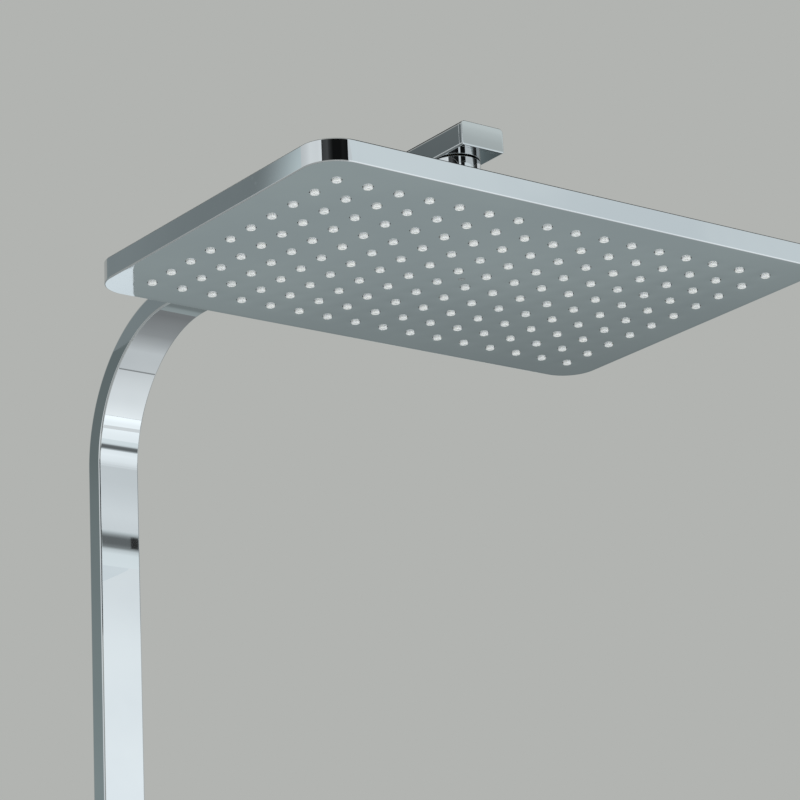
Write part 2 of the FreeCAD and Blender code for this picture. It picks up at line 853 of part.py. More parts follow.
def make_head_cover():
    """Top cover, set flush in the rim, rising to a boss under the ball joint."""
    body = new_body("head_cover")
    step = s.rim_wall - s.rim_ledge + s.plain_gap
    plate = new_sketch(body, "XY_Plane", cover_low)
    corner = s.head_corner - step
    draw_rounded_rectangle(plate, head_length - step * 2, head_width - step * 2, corner)
    draw_circle(plate, s.cover_boss_foot_radius - s.cover_thickness)
    pad(body, plate, s.cover_thickness)
    hole = s.half_inch_radius + s.rest_gap
    wall = s.cover_thickness
    cone = new_sketch(body, "XZ_Plane")
    draw_outline(cone, [
        (s.cover_boss_foot_radius - wall, cover_low),
        (s.cover_boss_foot_radius, cover_low),
        (s.cover_boss_foot_radius, rim_high),
        (s.cover_boss_radius, boss_high),
        (hole, boss_high),
        (hole, boss_high - wall),
        (s.cover_boss_radius - wall, boss_high - wall),
    ])
    spin(body, cone)
    put(body, head_place)
    keep(body, "head_cover")


def make_ball_socket():
    """Brass socket: thread into the water plate, flange on the cover, cup under the ball."""
    body = turned_body("ball_socket", [
        (s.socket_bore_radius, plate_high + s.rest_gap),
        (s.half_inch_radius, plate_high + s.rest_gap),
        (s.half_inch_radius, boss_high),
        (s.socket_flange_radius, boss_high),
        (s.socket_flange_radius, boss_high + s.socket_flange),
        (s.socket_radius, boss_high + s.socket_flange),
        (s.socket_radius, ball_height),
        (s.socket_bore_radius, ball_height),
    ])
    ball(body, s.ball_radius + s.running_gap * 2 + s.seat_wall, ball_height, cut=True)
    put(body, head_place)
    keep(body, "ball_socket")


def make_ball_cap():
    """Chromed ring nut that holds the ball down in its socket."""
    flare = s.cap_top - s.cap_lip_height
    bore = s.socket_radius + s.thread_gap
    body = turned_body("ball_cap", [
        (bore, ball_height - s.cap_skirt),
        (s.cap_radius, ball_height - s.cap_skirt),
        (s.cap_radius, ball_height + s.cap_shoulder),
        (s.cap_top_radius, ball_height + s.cap_top),
        (s.cap_lip_radius + flare, ball_height + s.cap_top),
        (s.cap_lip_radius, ball_height + s.cap_lip_height),
        (s.cap_lip_radius, ball_height),
        (bore, ball_height),
    ])
    ball(body, s.ball_radius + s.running_gap * 2 + s.slip_ring_wall, ball_height, cut=True)
    put(body, head_place)
    keep(body, "ball_cap")


def make_joint_ring(label, wall, low, high):
    """A ring between two balls about the joint's centre, cut level at its two ends."""
    inner = s.ball_radius + s.running_gap
    outer = inner + wall
    slab = doc.addObject("Part::Cylinder", label + "_slab")
    bind(slab, "Radius", outer)
    bind(slab, "Height", high - low)
    put(slab, (head_place[0], head_place[1], head_place[2] + ball_height + low))
    outside = doc.addObject("Part::Sphere", label + "_outside")
    bind(outside, "Radius", outer)
    put(outside, (head_place[0], head_place[1], head_place[2] + ball_height))
    inside = doc.addObject("Part::Sphere", label + "_inside")
    bind(inside, "Radius", inner)
    put(inside, (head_place[0], head_place[1], head_place[2] + ball_height))
    zone = doc.addObject("Part::Common", label + "_zone")
    zone.Base = outside
    zone.Tool = slab
    ring = doc.addObject("Part::Cut", label)
    ring.Base = zone
    ring.Tool = inside
    keep(ring, label)


def make_ball_stem():
    """Hollow ball with its neck and the flange that the swivel nut carries."""
    flange_low = nut_low + s.swivel_nut_lip
    flange_high = flange_low + s.stem_flange
    flange_radius = s.half_inch_radius - s.rest_gap
    body = turned_body("ball_stem", [
        (0, ball_height),
        (s.ball_neck_radius, ball_height),
        (s.ball_neck_radius, flange_low),
        (flange_radius, flange_low),
        (flange_radius, flange_high),
        (0, flange_high),
    ])
    ball(body, s.ball_radius, ball_height)
    mouth = ball_height - s.ball_radius - s.overrun
    turned_cut(body, ring_outline(0, s.ball_bore_radius, mouth, flange_high + s.overrun))
    put(body, head_place)
    keep(body, "ball_stem")


def make_swivel_nut():
    """Round chromed nut under the arm, screwed on the arm's outlet."""
    lip_high = nut_low + s.swivel_nut_lip
    body = turned_body("swivel_nut", ring_outline(0, s.swivel_nut_radius, nut_low, nut_high))
    soften(body, s.swivel_nut_edge)
    bore = s.half_inch_radius + s.thread_gap
    turned_cut(body, ring_outline(0, bore, lip_high, nut_high + s.overrun))
    neck = s.ball_neck_radius + s.plain_gap
    turned_cut(body, ring_outline(0, neck, nut_low - s.overrun, lip_high))
    put(body, head_place)
    keep(body, "swivel_nut")


washer_low = nut_low + s.swivel_nut_lip + s.stem_flange
nipple_low = washer_low + s.washer_thickness
nipple_seat = arm_underside + s.tube_wall


def make_joint_washer():
    """Rubber washer between the ball's flange and the arm's outlet."""
    radius = s.half_inch_radius - s.rest_gap
    outline = ring_outline(s.washer_bore_radius, radius, washer_low, nipple_low)
    body = turned_body("joint_washer", outline)
    put(body, head_place)
    keep(body, "joint_washer")


def make_outlet_nipple():
    """Brass outlet of the arm: flange inside the tube, thread below it."""
    flange_high = nipple_seat + s.nipple_flange
    recess = s.regulator_radius + s.plain_gap
    recess_high = nipple_low + s.regulator_depth + s.plain_gap
    body = turned_body("outlet_nipple", [
        (recess, nipple_low),
        (s.half_inch_radius, nipple_low),
        (s.half_inch_radius, nipple_seat),
        (s.nipple_flange_radius, nipple_seat),
        (s.nipple_flange_radius, flange_high),
        (s.nipple_bore_radius, flange_high),
        (s.nipple_bore_radius, recess_high),
        (recess, recess_high),
    ])
    put(body, head_place)
    keep(body, "outlet_nipple")


def make_flow_regulator():
    """Pierced disc that limits the flow, in the mouth of the outlet."""
    outline = ring_outline(0, s.regulator_radius, nipple_low, nipple_low + s.regulator_depth)
    body = turned_body("flow_regulator", outline)
    low = nipple_low - s.overrun
    high = nipple_low + s.regulator_depth + s.overrun
    hole = round_hole(body, s.regulator_hole_radius, s.regulator_hole_offset, 0, low, high)
    ring_of(body, [hole], s.regulator_holes_count)
    put(body, head_place)
    keep(body, "flow_regulator")


# Riser and arm


def make_riser_arm():
    """One flat tube: up the wall, round a wide bend and out over the head."""
    body = new_body("riser_arm")
    bend_radius = s.bend_inner_radius + s.tube_depth / 2
    straight = s.riser_rise - bend_radius
    tube_end = s.arm_reach + s.arm_overhang - s.end_cap_plate
    path = new_sketch(body, "YZ_Plane")
    corner = Vector(0, straight.value, 0)
    centre = corner + Vector(-bend_radius.value, 0, 0)
    top = centre + Vector(0, bend_radius.value, 0)
    end = Vector(-tube_end.value, top.y, 0)
    upright = path.addGeometry(Part.LineSegment(Vector(0, 0, 0), corner), False)
    circle = Part.Circle(centre, Vector(0, 0, 1), bend_radius.value)
    bend = path.addGeometry(Part.ArcOfCircle(circle, 0, math.pi / 2), False)
    level = path.addGeometry(Part.LineSegment(top, end), False)
    path.addConstraint(Sketcher.Constraint("Coincident", upright, 1, -1, 1))
    path.addConstraint(Sketcher.Constraint("Vertical", upright))
    path.addConstraint(Sketcher.Constraint("Tangent", upright, 2, bend, 1))
    path.addConstraint(Sketcher.Constraint("Tangent", bend, 2, level, 1))
    path.addConstraint(Sketcher.Constraint("Horizontal", level))
    hold_radius(path, bend, bend_radius)
    for kind, geometry, size in (("DistanceY", upright, straight), ("DistanceX", level, -tube_end)):
        index = path.addConstraint(Sketcher.Constraint(kind, -1, 1, geometry, 2, size.value))
        bind(path, f"Constraints[{index}]", size)
    section = new_sketch(body, "XY_Plane")
    draw_rounded_rectangle(section, s.tube_width, s.tube_depth, s.tube_corner)
    wall = s.tube_wall
    draw_rounded_rectangle(
        section, s.tube_width - wall * 2, s.tube_depth - wall * 2, s.tube_corner - wall
    )
    pipe = body.newObject("PartDesign::AdditivePipe", "riser_arm_pipe")
    pipe.Profile = section
    pipe.Spine = (path, [])
    radius = s.half_inch_radius + s.thread_gap
    low = s.riser_rise - s.tube_depth / 2 - s.overrun
    high = s.riser_rise
    round_hole(body, radius, 0, -s.arm_reach, low, high)
    put(body, riser_place)
    keep(body, "riser_arm")


def make_arm_end_cap():
    """Chromed plug that closes the arm's end."""
    body = new_body("arm_end_cap")
    plate = new_sketch(body, "XY_Plane")
    draw_rounded_rectangle(plate, s.tube_width, s.tube_depth, s.tube_corner)
    pad(body, plate, s.end_cap_plate)
    inset = s.tube_wall + s.plain_gap
    plug = new_sketch(body, "XY_Plane")
    plug_length = s.tube_width - inset * 2
    plug_width = s.tube_depth - inset * 2
    draw_rounded_rectangle(plug, plug_length, plug_width, s.tube_corner - s.tube_wall)
    wall = s.end_cap_wall
    corner = (s.tube_corner - s.tube_wall) / 2
    draw_rounded_rectangle(plug, plug_length - wall * 2, plug_width - wall * 2, corner)
    pad(body, plug, s.end_cap_plug, reversed_way=True)
    front = -s.wall_offset - s.arm_reach - s.arm_overhang + s.end_cap_plate
    put(body, (0, front, arm_centre), TO_FRONT)
    keep(body, "arm_end_cap")


def make_riser_foot():
    """Brass foot brazed in the riser: plug, flange and a round spigot for the collar."""
    body = new_body("riser_foot")
    rounded_prism(body, s.tube_width, s.tube_depth, s.tube_corner, foot_low, tube_low)
    inset = s.tube_wall + s.plain_gap
    plug = new_sketch(body, "XY_Plane", tube_low)
    corner = s.tube_corner - s.tube_wall
    draw_rounded_rectangle(plug, s.tube_width - inset * 2, s.tube_depth - inset * 2, corner)
    pad(body, plug, s.foot_plug)
    spigot = new_sketch(body, "XY_Plane", foot_low)
    draw_circle(spigot, s.foot_spigot_radius)
    pad(body, spigot, s.foot_spigot_length, reversed_way=True)
    round_hole(
        body, s.foot_bore_radius, 0, 0,
        foot_low - s.foot_spigot_length - s.overrun, tube_low + s.foot_plug + s.overrun,
    )
    for height in foot_ring_heights():
        groove_radius = s.riser_port_radius - s.o_ring_section * 2 - s.thread_gap * 2
        half = s.o_ring_section + s.thread_gap
        outline = ring_outline(groove_radius, s.riser_port_radius, height - half, height + half)
        turned_cut(body, outline)
    put(body, valve_place)
    keep(body, "riser_foot")


def foot_ring_heights():
    """Where the two O-rings sit on the foot's spigot."""
    lower = foot_low - s.foot_spigot_length + s.o_ring_section * 2
    return [lower, lower + s.foot_ring_pitch]


def make_foot_o_rings():
    x, y, z = valve_place
    rings = []
    for index, height in enumerate(foot_ring_heights(), start=1):
        rings.append(o_ring(f"foot_ring_{index}", s.riser_port_radius, (x, y, z + height), UPRIGHT))
    group("foot_o_rings", rings)


collar_screw_height = valve_half + s.collar_rise / 2


def make_riser_collar():
    """Chromed collar screwed into the valve, which takes the riser's foot."""
    thread_low = valve_half - s.collar_thread
    body = turned_body("riser_collar", ring_outline(0, s.collar_radius, valve_half, foot_low))
    soften(body, s.collar_edge)
    thread = new_sketch(body, "XY_Plane", valve_half + s.collar_edge)
    draw_circle(thread, s.collar_thread_radius - s.thread_gap)
    pad(body, thread, s.collar_thread + s.collar_edge, reversed_way=True)
    round_hole(body, s.riser_port_radius, 0, 0, thread_low - s.overrun, foot_low + s.overrun)
    tap = new_sketch(body, "XZ_Plane")
    draw_circle(tap, s.grub_radius + s.thread_gap, 0, collar_screw_height)
    pocket(body, tap, s.collar_radius + s.overrun)
    put(body, valve_place)
    keep(body, "riser_collar")


# Wall bracket

bracket_place = (0, 0, s.bracket_rise)


def make_bracket_spigot():
    """Steel spigot screwed to the wall inside the bracket."""
    head = s.wall_screw_head_radius + s.plain_gap
    hole = s.wall_screw_radius + s.plain_gap
    body = turned_body("bracket_spigot", [
        (hole, 0),
        (s.spigot_flange_radius, 0),
        (s.spigot_flange_radius, s.spigot_flange),
        (s.spigot_radius, s.spigot_flange),
        (s.spigot_radius, s.spigot_length),
        (head, s.spigot_length),
        (head, s.wall_screw_seat),
        (hole, s.wall_screw_seat),
    ])
    put(body, bracket_place, TO_FRONT)
    keep(body, "bracket_spigot")


def make_bracket_screw():
    """Wall screw of the bracket."""
    tip = s.wall_screw_radius * 2
    body = turned_body("bracket_screw", [
        (0, -s.wall_screw_depth),
        (s.wall_screw_radius, -s.wall_screw_depth + tip),
        (s.wall_screw_radius, s.wall_screw_seat),
        (s.wall_screw_head_radius, s.wall_screw_seat),
        (s.wall_screw_head_radius, s.wall_screw_seat + s.wall_screw_head),
        (0, s.wall_screw_seat + s.wall_screw_head),
    ])
    put(body, bracket_place, TO_FRONT)
    keep(body, "bracket_screw")


def make_wall_plug():
    """Nylon plug that the wall screw bites in."""
    bore = s.wall_screw_radius + s.thread_gap
    outline = ring_outline(bore, s.wall_plug_radius, -s.wall_plug_length, 0)
    body = turned_body("wall_plug", outline)
    put(body, bracket_place, TO_FRONT)
    keep(body, "wall_plug")


def make_bracket_post():
    """Bracket: a square stem over the spigot and a clasp round the riser."""
    body = new_body("bracket_post")
    clasp_length = s.tube_width + (s.bracket_wrap + s.plain_gap) * 2
    clasp_width = s.tube_depth + (s.bracket_wrap + s.plain_gap) * 2
    clasp = new_sketch(body, "XY_Plane")
    draw_rounded_rectangle(clasp, clasp_length, clasp_width, s.bracket_corner, 0, -s.wall_offset)
    pad(body, clasp, s.bracket_height, midplane=True)
    soften(body, s.bracket_edge)
    stem = new_sketch(body, "XY_Plane")
    half = s.bracket_stem / 2
    stem_front = -s.wall_offset + clasp_width / 2 - s.overrun
    draw_outline(stem, [
        (-half, -s.rest_gap), (-half, stem_front), (half, stem_front), (half, -s.rest_gap),
    ])
    pad(body, stem, s.bracket_height, midplane=True)
    window = new_sketch(body, "XY_Plane")
    gap = s.plain_gap * 2
    draw_rounded_rectangle(
        window, s.tube_width + gap, s.tube_depth + gap, s.tube_corner + s.plain_gap, 0, -s.wall_offset
    )
    pocket(body, window, s.bracket_height + s.overrun, midplane=True)
    socket = new_sketch(body, "XZ_Plane", -s.overrun)
    draw_circle(socket, s.spigot_radius + s.plain_gap)
    pocket(body, socket, s.spigot_length + s.rest_gap + s.overrun, reversed_way=True)
    seat = new_sketch(body, "XZ_Plane", -s.overrun)
    draw_circle(seat, s.spigot_flange_radius + s.plain_gap)
    pocket(body, seat, s.spigot_flange + s.rest_gap + s.overrun, reversed_way=True)
    tap = new_sketch(body, "XY_Plane")
    draw_circle(tap, s.grub_radius + s.thread_gap, 0, -bracket_screw_station)
    pocket(body, tap, s.bracket_height)
    put(body, bracket_place)
    keep(body, "bracket_post")


bracket_screw_station = (s.spigot_flange + s.spigot_length) / 2


def make_grub_screws():
    """Grub screws of the collar and of the bracket, with a hexagon socket each."""
    screws = []
    x, y, z = valve_place
    collar_tip = s.foot_spigot_radius + s.plain_gap
    spigot_tip = s.spigot_radius + s.plain_gap
    places = (
        ((x, y + collar_tip, z + collar_screw_height), TO_BACK),
        ((0, -bracket_screw_station, bracket_place[2] - spigot_tip), TO_FLOOR),
    )
    for index, (place, turn) in enumerate(places, start=1):
        outline = ring_outline(0, s.grub_radius, 0, s.grub_length)
        body = turned_body(f"grub_screw_{index}", outline)
        socket = new_sketch(body, "XY_Plane", s.grub_length)
        draw_outline(socket, regular_corners(s.grub_socket_radius, s.nut_sides_count))
        pocket(body, socket, s.grub_socket_depth)
        put(body, place, turn)
        screws.append(body)
    group("grub_screws", screws)


def regular_corners(radius, sides):
    """Corners of a regular outline about the origin, worked out from its corner radius."""
    corners = []
    for index in range(int(sides.value)):
        turn = 2 * math.pi * (index + 0.5) / sides.value
        corners.append((radius * round(math.cos(turn), 9), radius * round(math.sin(turn), 9)))
    return corners


# Supply unions and inlets: heights here count from the wall towards the room

supply_x = s.supply_spacing / 2
tail_low = s.union_length + s.washer_thickness
valve_back = s.wall_offset - valve_half
tail_high = valve_back + s.tail_thread
supply_run = [("X_Axis", s.supply_spacing, s.supplies_count)]
left_supply = (-supply_x, 0, 0)
left_inlet = (-supply_x, 0, -s.supply_drop)


def make_wall_unions():
    """Offset unions: stud into the wall, thread towards the valve lower by the drop."""
    body = turned_body("wall_unions", [
        (0, -s.stud_length),
        (s.half_inch_radius, -s.stud_length),
        (s.half_inch_radius, 0),
        (s.union_root_radius, 0),
        (s.union_root_radius, s.union_root_length),
        (0, s.union_root_length),
    ])
    root = body.Tip
    front = new_sketch(body, "XY_Plane", s.union_root_length / 2)
    draw_circle(front, s.three_quarter_radius, 0, -s.supply_drop)
    front_pad = pad(body, front, s.union_length - s.union_root_length / 2)
    stud_bore = round_hole(
        body, s.stud_bore_radius, 0, 0, -s.stud_length - s.overrun, s.union_root_length
    )
    front_bore = round_hole(
        body, s.union_bore_radius, 0, -s.supply_drop, s.union_root_length / 2, s.union_length
    )
    repeat(body, [root, front_pad, stud_bore, front_bore], supply_run)
    put(body, left_supply, TO_FRONT)
    keep(body, "wall_unions")


def make_escutcheons():
    """Chromed bell covers of the two unions, flat against the wall."""
    neck = s.three_quarter_radius + s.plain_gap
    collar = neck + s.escutcheon_neck_wall
    wall = s.escutcheon_wall
    body = turned_body("escutcheons", [
        (s.escutcheon_radius - wall, 0),
        (s.escutcheon_radius, 0),
        (s.escutcheon_radius, s.escutcheon_edge),
        (s.escutcheon_slope_radius, s.escutcheon_depth),
        (collar, s.escutcheon_depth),
        (collar, s.escutcheon_depth + s.escutcheon_neck),
        (neck, s.escutcheon_depth + s.escutcheon_neck),
        (neck, s.escutcheon_depth - wall),
        (s.escutcheon_slope_radius - wall, s.escutcheon_depth - wall),
        (s.escutcheon_radius - wall, s.escutcheon_edge - wall / 2),
    ])
    repeat(body, [body.Tip], supply_run)
    put(body, left_inlet, TO_FRONT)
    keep(body, "escutcheons")


def make_union_nuts():
    """Hexagon nuts that draw the valve's tails on the unions."""
    low = tail_low + s.tail_flange + s.plain_gap - s.union_nut_skirt
    shoulder = tail_low + s.tail_flange + s.plain_gap
    high = shoulder + s.union_nut_lip
    body = new_body("union_nuts")
    outline = new_sketch(body, "XY_Plane", low)
    draw_outline(outline, regular_corners(s.union_nut_radius, s.nut_sides_count))
    prism = pad(body, outline, high - low)
    edge = s.union_nut_edge
    features = [prism]
    for end, way in ((low, 1), (high, -1)):
        features.append(turned_cut(body, [
            (s.union_nut_radius - edge, end),
            (s.union_nut_radius + s.overrun, end),
            (s.union_nut_radius + s.overrun, end + edge * way),
            (s.union_nut_radius, end + edge * way),
        ]))
    bore = s.three_quarter_radius + s.thread_gap
    features.append(round_hole(body, bore, 0, 0, low - s.overrun, shoulder))
    lip = s.tail_neck_radius + s.plain_gap
    features.append(round_hole(body, lip, 0, 0, shoulder - s.overrun, high + s.overrun))
    repeat(body, features, supply_run)
    put(body, left_inlet, TO_FRONT)
    keep(body, "union_nuts")


def make_union_washers():
    """Rubber washers between the unions and the tails."""
    outline = ring_outline(s.tail_bore_radius, s.tail_flange_radius, s.union_length, tail_low)
    body = turned_body("union_washers", outline)
    repeat(body, [body.Tip], supply_run)
    put(body, left_inlet, TO_FRONT)
    keep(body, "union_washers")


cage_low = tail_low + s.plain_gap
cage_high = cage_low + s.cage_length


def make_inlet_tails():
    """Tails screwed in the valve's back, each holding a check valve."""
    bore = s.tail_bore_radius
    body = turned_body("inlet_tails", [
        (bore, tail_low),
        (s.tail_flange_radius, tail_low),
        (s.tail_flange_radius, tail_low + s.tail_flange),
        (s.tail_neck_radius, tail_low + s.tail_flange),
        (s.tail_neck_radius, valve_back),
        (s.tail_thread_radius - s.thread_gap, valve_back),
        (s.tail_thread_radius - s.thread_gap, tail_high),
        (s.tail_mouth_radius, tail_high),
        (s.tail_mouth_radius, cage_high + s.plain_gap),
        (bore, cage_high + s.plain_gap),
    ])
    repeat(body, [body.Tip], supply_run)
    put(body, left_inlet, TO_FRONT)
    keep(body, "inlet_tails")


def make_check_cages():
    """Plastic cages of the check valves: seat at the supply side, guide at the valve side."""
    outer = s.tail_bore_radius - s.plain_gap
    inner = outer - s.cage_wall
    body = turned_body("check_cages", [
        (s.cage_seat_radius, cage_low),
        (outer, cage_low),
        (outer, cage_high),
        (s.poppet_stem_radius + s.plain_gap, cage_high),
        (s.poppet_stem_radius + s.plain_gap, cage_high - s.cage_guide),
        (inner, cage_high - s.cage_guide),
        (inner, cage_low + s.cage_seat),
        (s.cage_seat_radius, cage_low + s.cage_seat),
    ])
    cage = body.Tip
    low = cage_high - s.cage_guide - s.overrun
    windows = []
    for index in range(int(s.cage_windows_count.value)):
        turn = 2 * math.pi * index / s.cage_windows_count.value
        x = s.cage_window_offset * round(math.cos(turn), 9)
        y = s.cage_window_offset * round(math.sin(turn), 9)
        windows.append(round_hole(body, s.cage_window_radius, x, y, low, cage_high + s.overrun))
    repeat(body, [cage] + windows, supply_run)
    put(body, left_inlet, TO_FRONT)
    keep(body, "check_cages")


poppet_low = cage_low + s.cage_seat + s.rest_gap
poppet_back = poppet_low + s.poppet_head


def make_poppet(label, x):
    """Poppet of a check valve."""
    body = turned_body(label, [
        (0, poppet_low),
        (s.poppet_radius, poppet_low),
        (s.poppet_radius, poppet_back),
        (s.poppet_stem_radius, poppet_back),
        (s.poppet_stem_radius, poppet_back + s.poppet_stem),
        (0, poppet_back + s.poppet_stem),
    ])
    put(body, (x, 0, -s.supply_drop), TO_FRONT)
    keep(body, label)


def make_poppet_spring(label, x):
    """Spring that shuts a check valve."""
    low = poppet_back + s.plain_gap
    body = coil(
        label, s.poppet_spring_radius, s.poppet_spring_wire, low,
        cage_high - s.cage_guide - s.plain_gap, s.poppet_spring_turns_count,
    )
    put(body, (x, 0, -s.supply_drop), TO_FRONT)
    keep(body, label)


# Valve body: stations count from its middle, positive towards the thermostat on the right

mouth_floor = supply_x + s.mouth_reach
valve_end = mouth_floor + s.mouth_depth
thermo_floor = supply_x - s.gallery_reach
nose_floor = thermo_floor - s.thermo_nose_depth
diverter_face = mouth_floor - s.diverter_bore_depth


def bar_hole(body, radius, y, z, low, high):
    """Cut a round channel along the bar between two stations."""
    sketch = new_sketch(body, "YZ_Plane", high)
    draw_circle(sketch, radius, y, z)
    return pocket(body, sketch, high - low)


def make_valve_body():
    """Brass bar with both cartridge bores, the inlets, the outlets and the waterways."""
    body = new_body("valve_body")
    section = new_sketch(body, "YZ_Plane")
    draw_rounded_rectangle(section, s.valve_section, s.valve_section, s.valve_corner)
    pad(body, section, valve_end * 2, midplane=True)
    soften(body, s.valve_edge)
    bores = (
        (s.mouth_radius, mouth_floor, valve_end + s.overrun),
        (s.thermo_bore_radius, thermo_floor, mouth_floor),
        (s.thermo_nose_radius, nose_floor, thermo_floor),
        (s.mouth_radius, -valve_end - s.overrun, -mouth_floor),
        (s.diverter_bore_radius, -mouth_floor, -diverter_face),
    )
    for radius, low, high in bores:
        bar_hole(body, radius, 0, 0, low, high)
    bar_hole(body, s.mixed_channel_radius, -s.mixed_channel_offset, 0, -diverter_face, nose_floor)
    hot_end = (nose_floor + thermo_floor) / 2 + s.hot_channel_radius
    bar_hole(body, s.hot_channel_radius, s.hot_channel_offset, 0, -supply_x, hot_end)
    for way in (1, -1):
        height = s.outlet_channel_offset * way
        bar_hole(body, s.outlet_channel_radius, 0, height, -diverter_face, s.outlet_channel_radius)
    for x, floor in ((-supply_x, s.hot_channel_offset), (supply_x, s.thermo_bore_radius - s.overrun)):
        thread = new_sketch(body, "XZ_Plane", -valve_half - s.overrun)
        draw_circle(thread, s.tail_thread_radius, x, 0)
        pocket(body, thread, s.tail_thread + s.plain_gap + s.overrun, reversed_way=True)
        mouth = new_sketch(body, "XZ_Plane", -valve_half - s.overrun)
        draw_circle(mouth, s.tail_mouth_radius, x, 0)
        pocket(body, mouth, valve_half - floor + s.overrun, reversed_way=True)
    outlet_floor = s.outlet_channel_offset - s.outlet_channel_radius / 2
    thread_floor = valve_half - s.collar_thread - s.plain_gap
    round_hole(body, s.collar_thread_radius, 0, 0, thread_floor, valve_half + s.overrun)
    round_hole(body, s.riser_port_radius, 0, 0, outlet_floor, thread_floor)
    hose_floor = -valve_half + s.hose_port_depth + s.plain_gap
    round_hole(body, s.hose_port_radius, 0, 0, -valve_half - s.overrun, hose_floor)
    round_hole(body, s.hose_port_bore_radius, 0, 0, hose_floor, -outlet_floor)
    put(body, valve_place)
    keep(body, "valve_body")


def make_hose_outlet():
    """Threaded outlet under the valve for a hand-shower hose."""
    flange_low = -valve_half - s.hose_flange
    body = turned_body("hose_outlet", [
        (s.hose_port_bore_radius, flange_low - s.hose_thread),
        (s.half_inch_radius, flange_low - s.hose_thread),
        (s.half_inch_radius, flange_low),
        (s.hose_flange_radius, flange_low),
        (s.hose_flange_radius, -valve_half),
        (s.hose_port_radius - s.thread_gap, -valve_half),
        (s.hose_port_radius - s.thread_gap, -valve_half + s.hose_port_depth),
        (s.hose_port_bore_radius, -valve_half + s.hose_port_depth),
    ])
    put(body, valve_place)
    keep(body, "hose_outlet")


# Pieces alike at both ends of the valve

nut_face = mouth_floor + s.cartridge_nut_depth
hub_face = nut_face + s.cartridge_hub
spline_low = hub_face + s.plain_gap
spline_high = spline_low + s.spline_length
flange_back = mouth_floor - s.running_gap
handle_low = valve_end + s.handle_gap
handle_high = handle_low + s.handle_length
handle_seat_low = spline_high + s.plain_gap
handle_seat_high = handle_seat_low + s.handle_seat
cap_floor = handle_high - s.handle_cap_depth
cavity_floor = cap_floor - s.handle_end_wall


def make_cartridge_nuts():
    """Ring nuts that hold the cartridges in the two mouths."""
    nuts = []
    for name, turn in (("thermo_nut", TO_RIGHT), ("diverter_nut", TO_LEFT)):
        body = turned_body(name, [
            (s.cartridge_nut_bore, mouth_floor),
            (s.mouth_radius - s.thread_gap, mouth_floor),
            (s.mouth_radius - s.thread_gap, nut_face),
            (s.cartridge_hub_radius, nut_face),
            (s.cartridge_hub_radius, hub_face),
            (s.cartridge_nut_bore, hub_face),
        ])
        put(body, valve_place, turn)
        nuts.append(body)
    group("cartridge_nuts", nuts)


def spindle_outline(inner_corners):
    """Outline of a spindle: its own inner end, then the shaft, the spline and the tapped hole."""
    shaft = s.cartridge_nut_bore - s.running_gap
    return inner_corners + [
        (shaft, flange_back),
        (shaft, spline_low),
        (s.spline_radius, spline_low),
        (s.spline_radius, spline_high),
        (s.spindle_tap_radius, spline_high),
        (s.spindle_tap_radius, spline_high - s.spindle_tap_depth),
        (0, spline_high - s.spindle_tap_depth),
    ]


def make_handle_body(name):
    """Hollow handle: outer wall, end wall with the cap's recess, and the splined hub."""
    bevel = s.handle_bevel
    radius = s.handle_radius
    hub_low = hub_face + s.handle_hub_setback
    bore = s.spline_radius + s.plain_gap
    body = turned_body(name, [
        (radius - s.handle_wall, handle_low),
        (radius - bevel / 2, handle_low),
        (radius, handle_low + bevel / 2),
        (radius, handle_high - bevel),
        (radius - bevel, handle_high),
        (s.handle_cap_radius, handle_high),
        (s.handle_cap_radius, cap_floor),
        (s.handle_access_radius, cap_floor),
        (s.handle_access_radius, handle_seat_high),
        (s.handle_screw_radius + s.plain_gap, handle_seat_high),
        (s.handle_screw_radius + s.plain_gap, handle_seat_low),
        (bore, handle_seat_low),
        (bore, hub_low),
        (s.handle_hub_radius, hub_low),
        (s.handle_hub_radius, cavity_floor),
        (radius - s.handle_wall, cavity_floor),
    ])
    flute = new_sketch(body, "XY_Plane", handle_high - s.flute_setback)
    draw_circle(flute, s.flute_radius, radius + s.flute_radius - s.flute_inset, 0)
    cut = pocket(body, flute, s.handle_length - s.flute_setback * 2)
    ring_of(body, [cut], s.flutes_count)
    return body


def make_handle_screw(label, turn):
    """Screw that holds a handle on its spindle."""
    radius = s.handle_screw_radius - s.plain_gap
    body = turned_body(label, [
        (0, handle_seat_high - s.handle_screw_length),
        (radius, handle_seat_high - s.handle_screw_length),
        (radius, handle_seat_high),
        (s.handle_screw_head_radius, handle_seat_high),
        (s.handle_screw_head_radius, handle_seat_high + s.handle_screw_head),
        (0, handle_seat_high + s.handle_screw_head),
    ])
    socket = new_sketch(body, "XY_Plane", handle_seat_high + s.handle_screw_head)
    draw_outline(socket, regular_corners(s.handle_screw_radius, s.nut_sides_count))
    pocket(body, socket, s.handle_screw_head / 2)
    put(body, valve_place, turn)
    keep(body, label)


def make_handle_cap(label, turn):
    """Chromed cap that hides a handle's screw."""
    radius = s.handle_cap_radius - s.plain_gap
    outline = ring_outline(0, radius, cap_floor, cap_floor + s.handle_cap_thickness)
    body = turned_body(label, outline)
    soften(body, s.button_edge)
    put(body, valve_place, turn)
    keep(body, label)


# Thermostatic cartridge, in the right end

sleeve_nose = nose_floor + s.plain_gap
sleeve_floor = sleeve_nose + s.sleeve_nose_wall
element_low = sleeve_floor + s.rest_gap
cup_low = element_low + s.element_rod
web_low = cup_low - s.shuttle_web
pin_low = cup_low + s.element_cup
push_low = pin_low + s.element_pin
cold_port_station = supply_x
hot_port_station = (nose_floor + thermo_floor) / 2


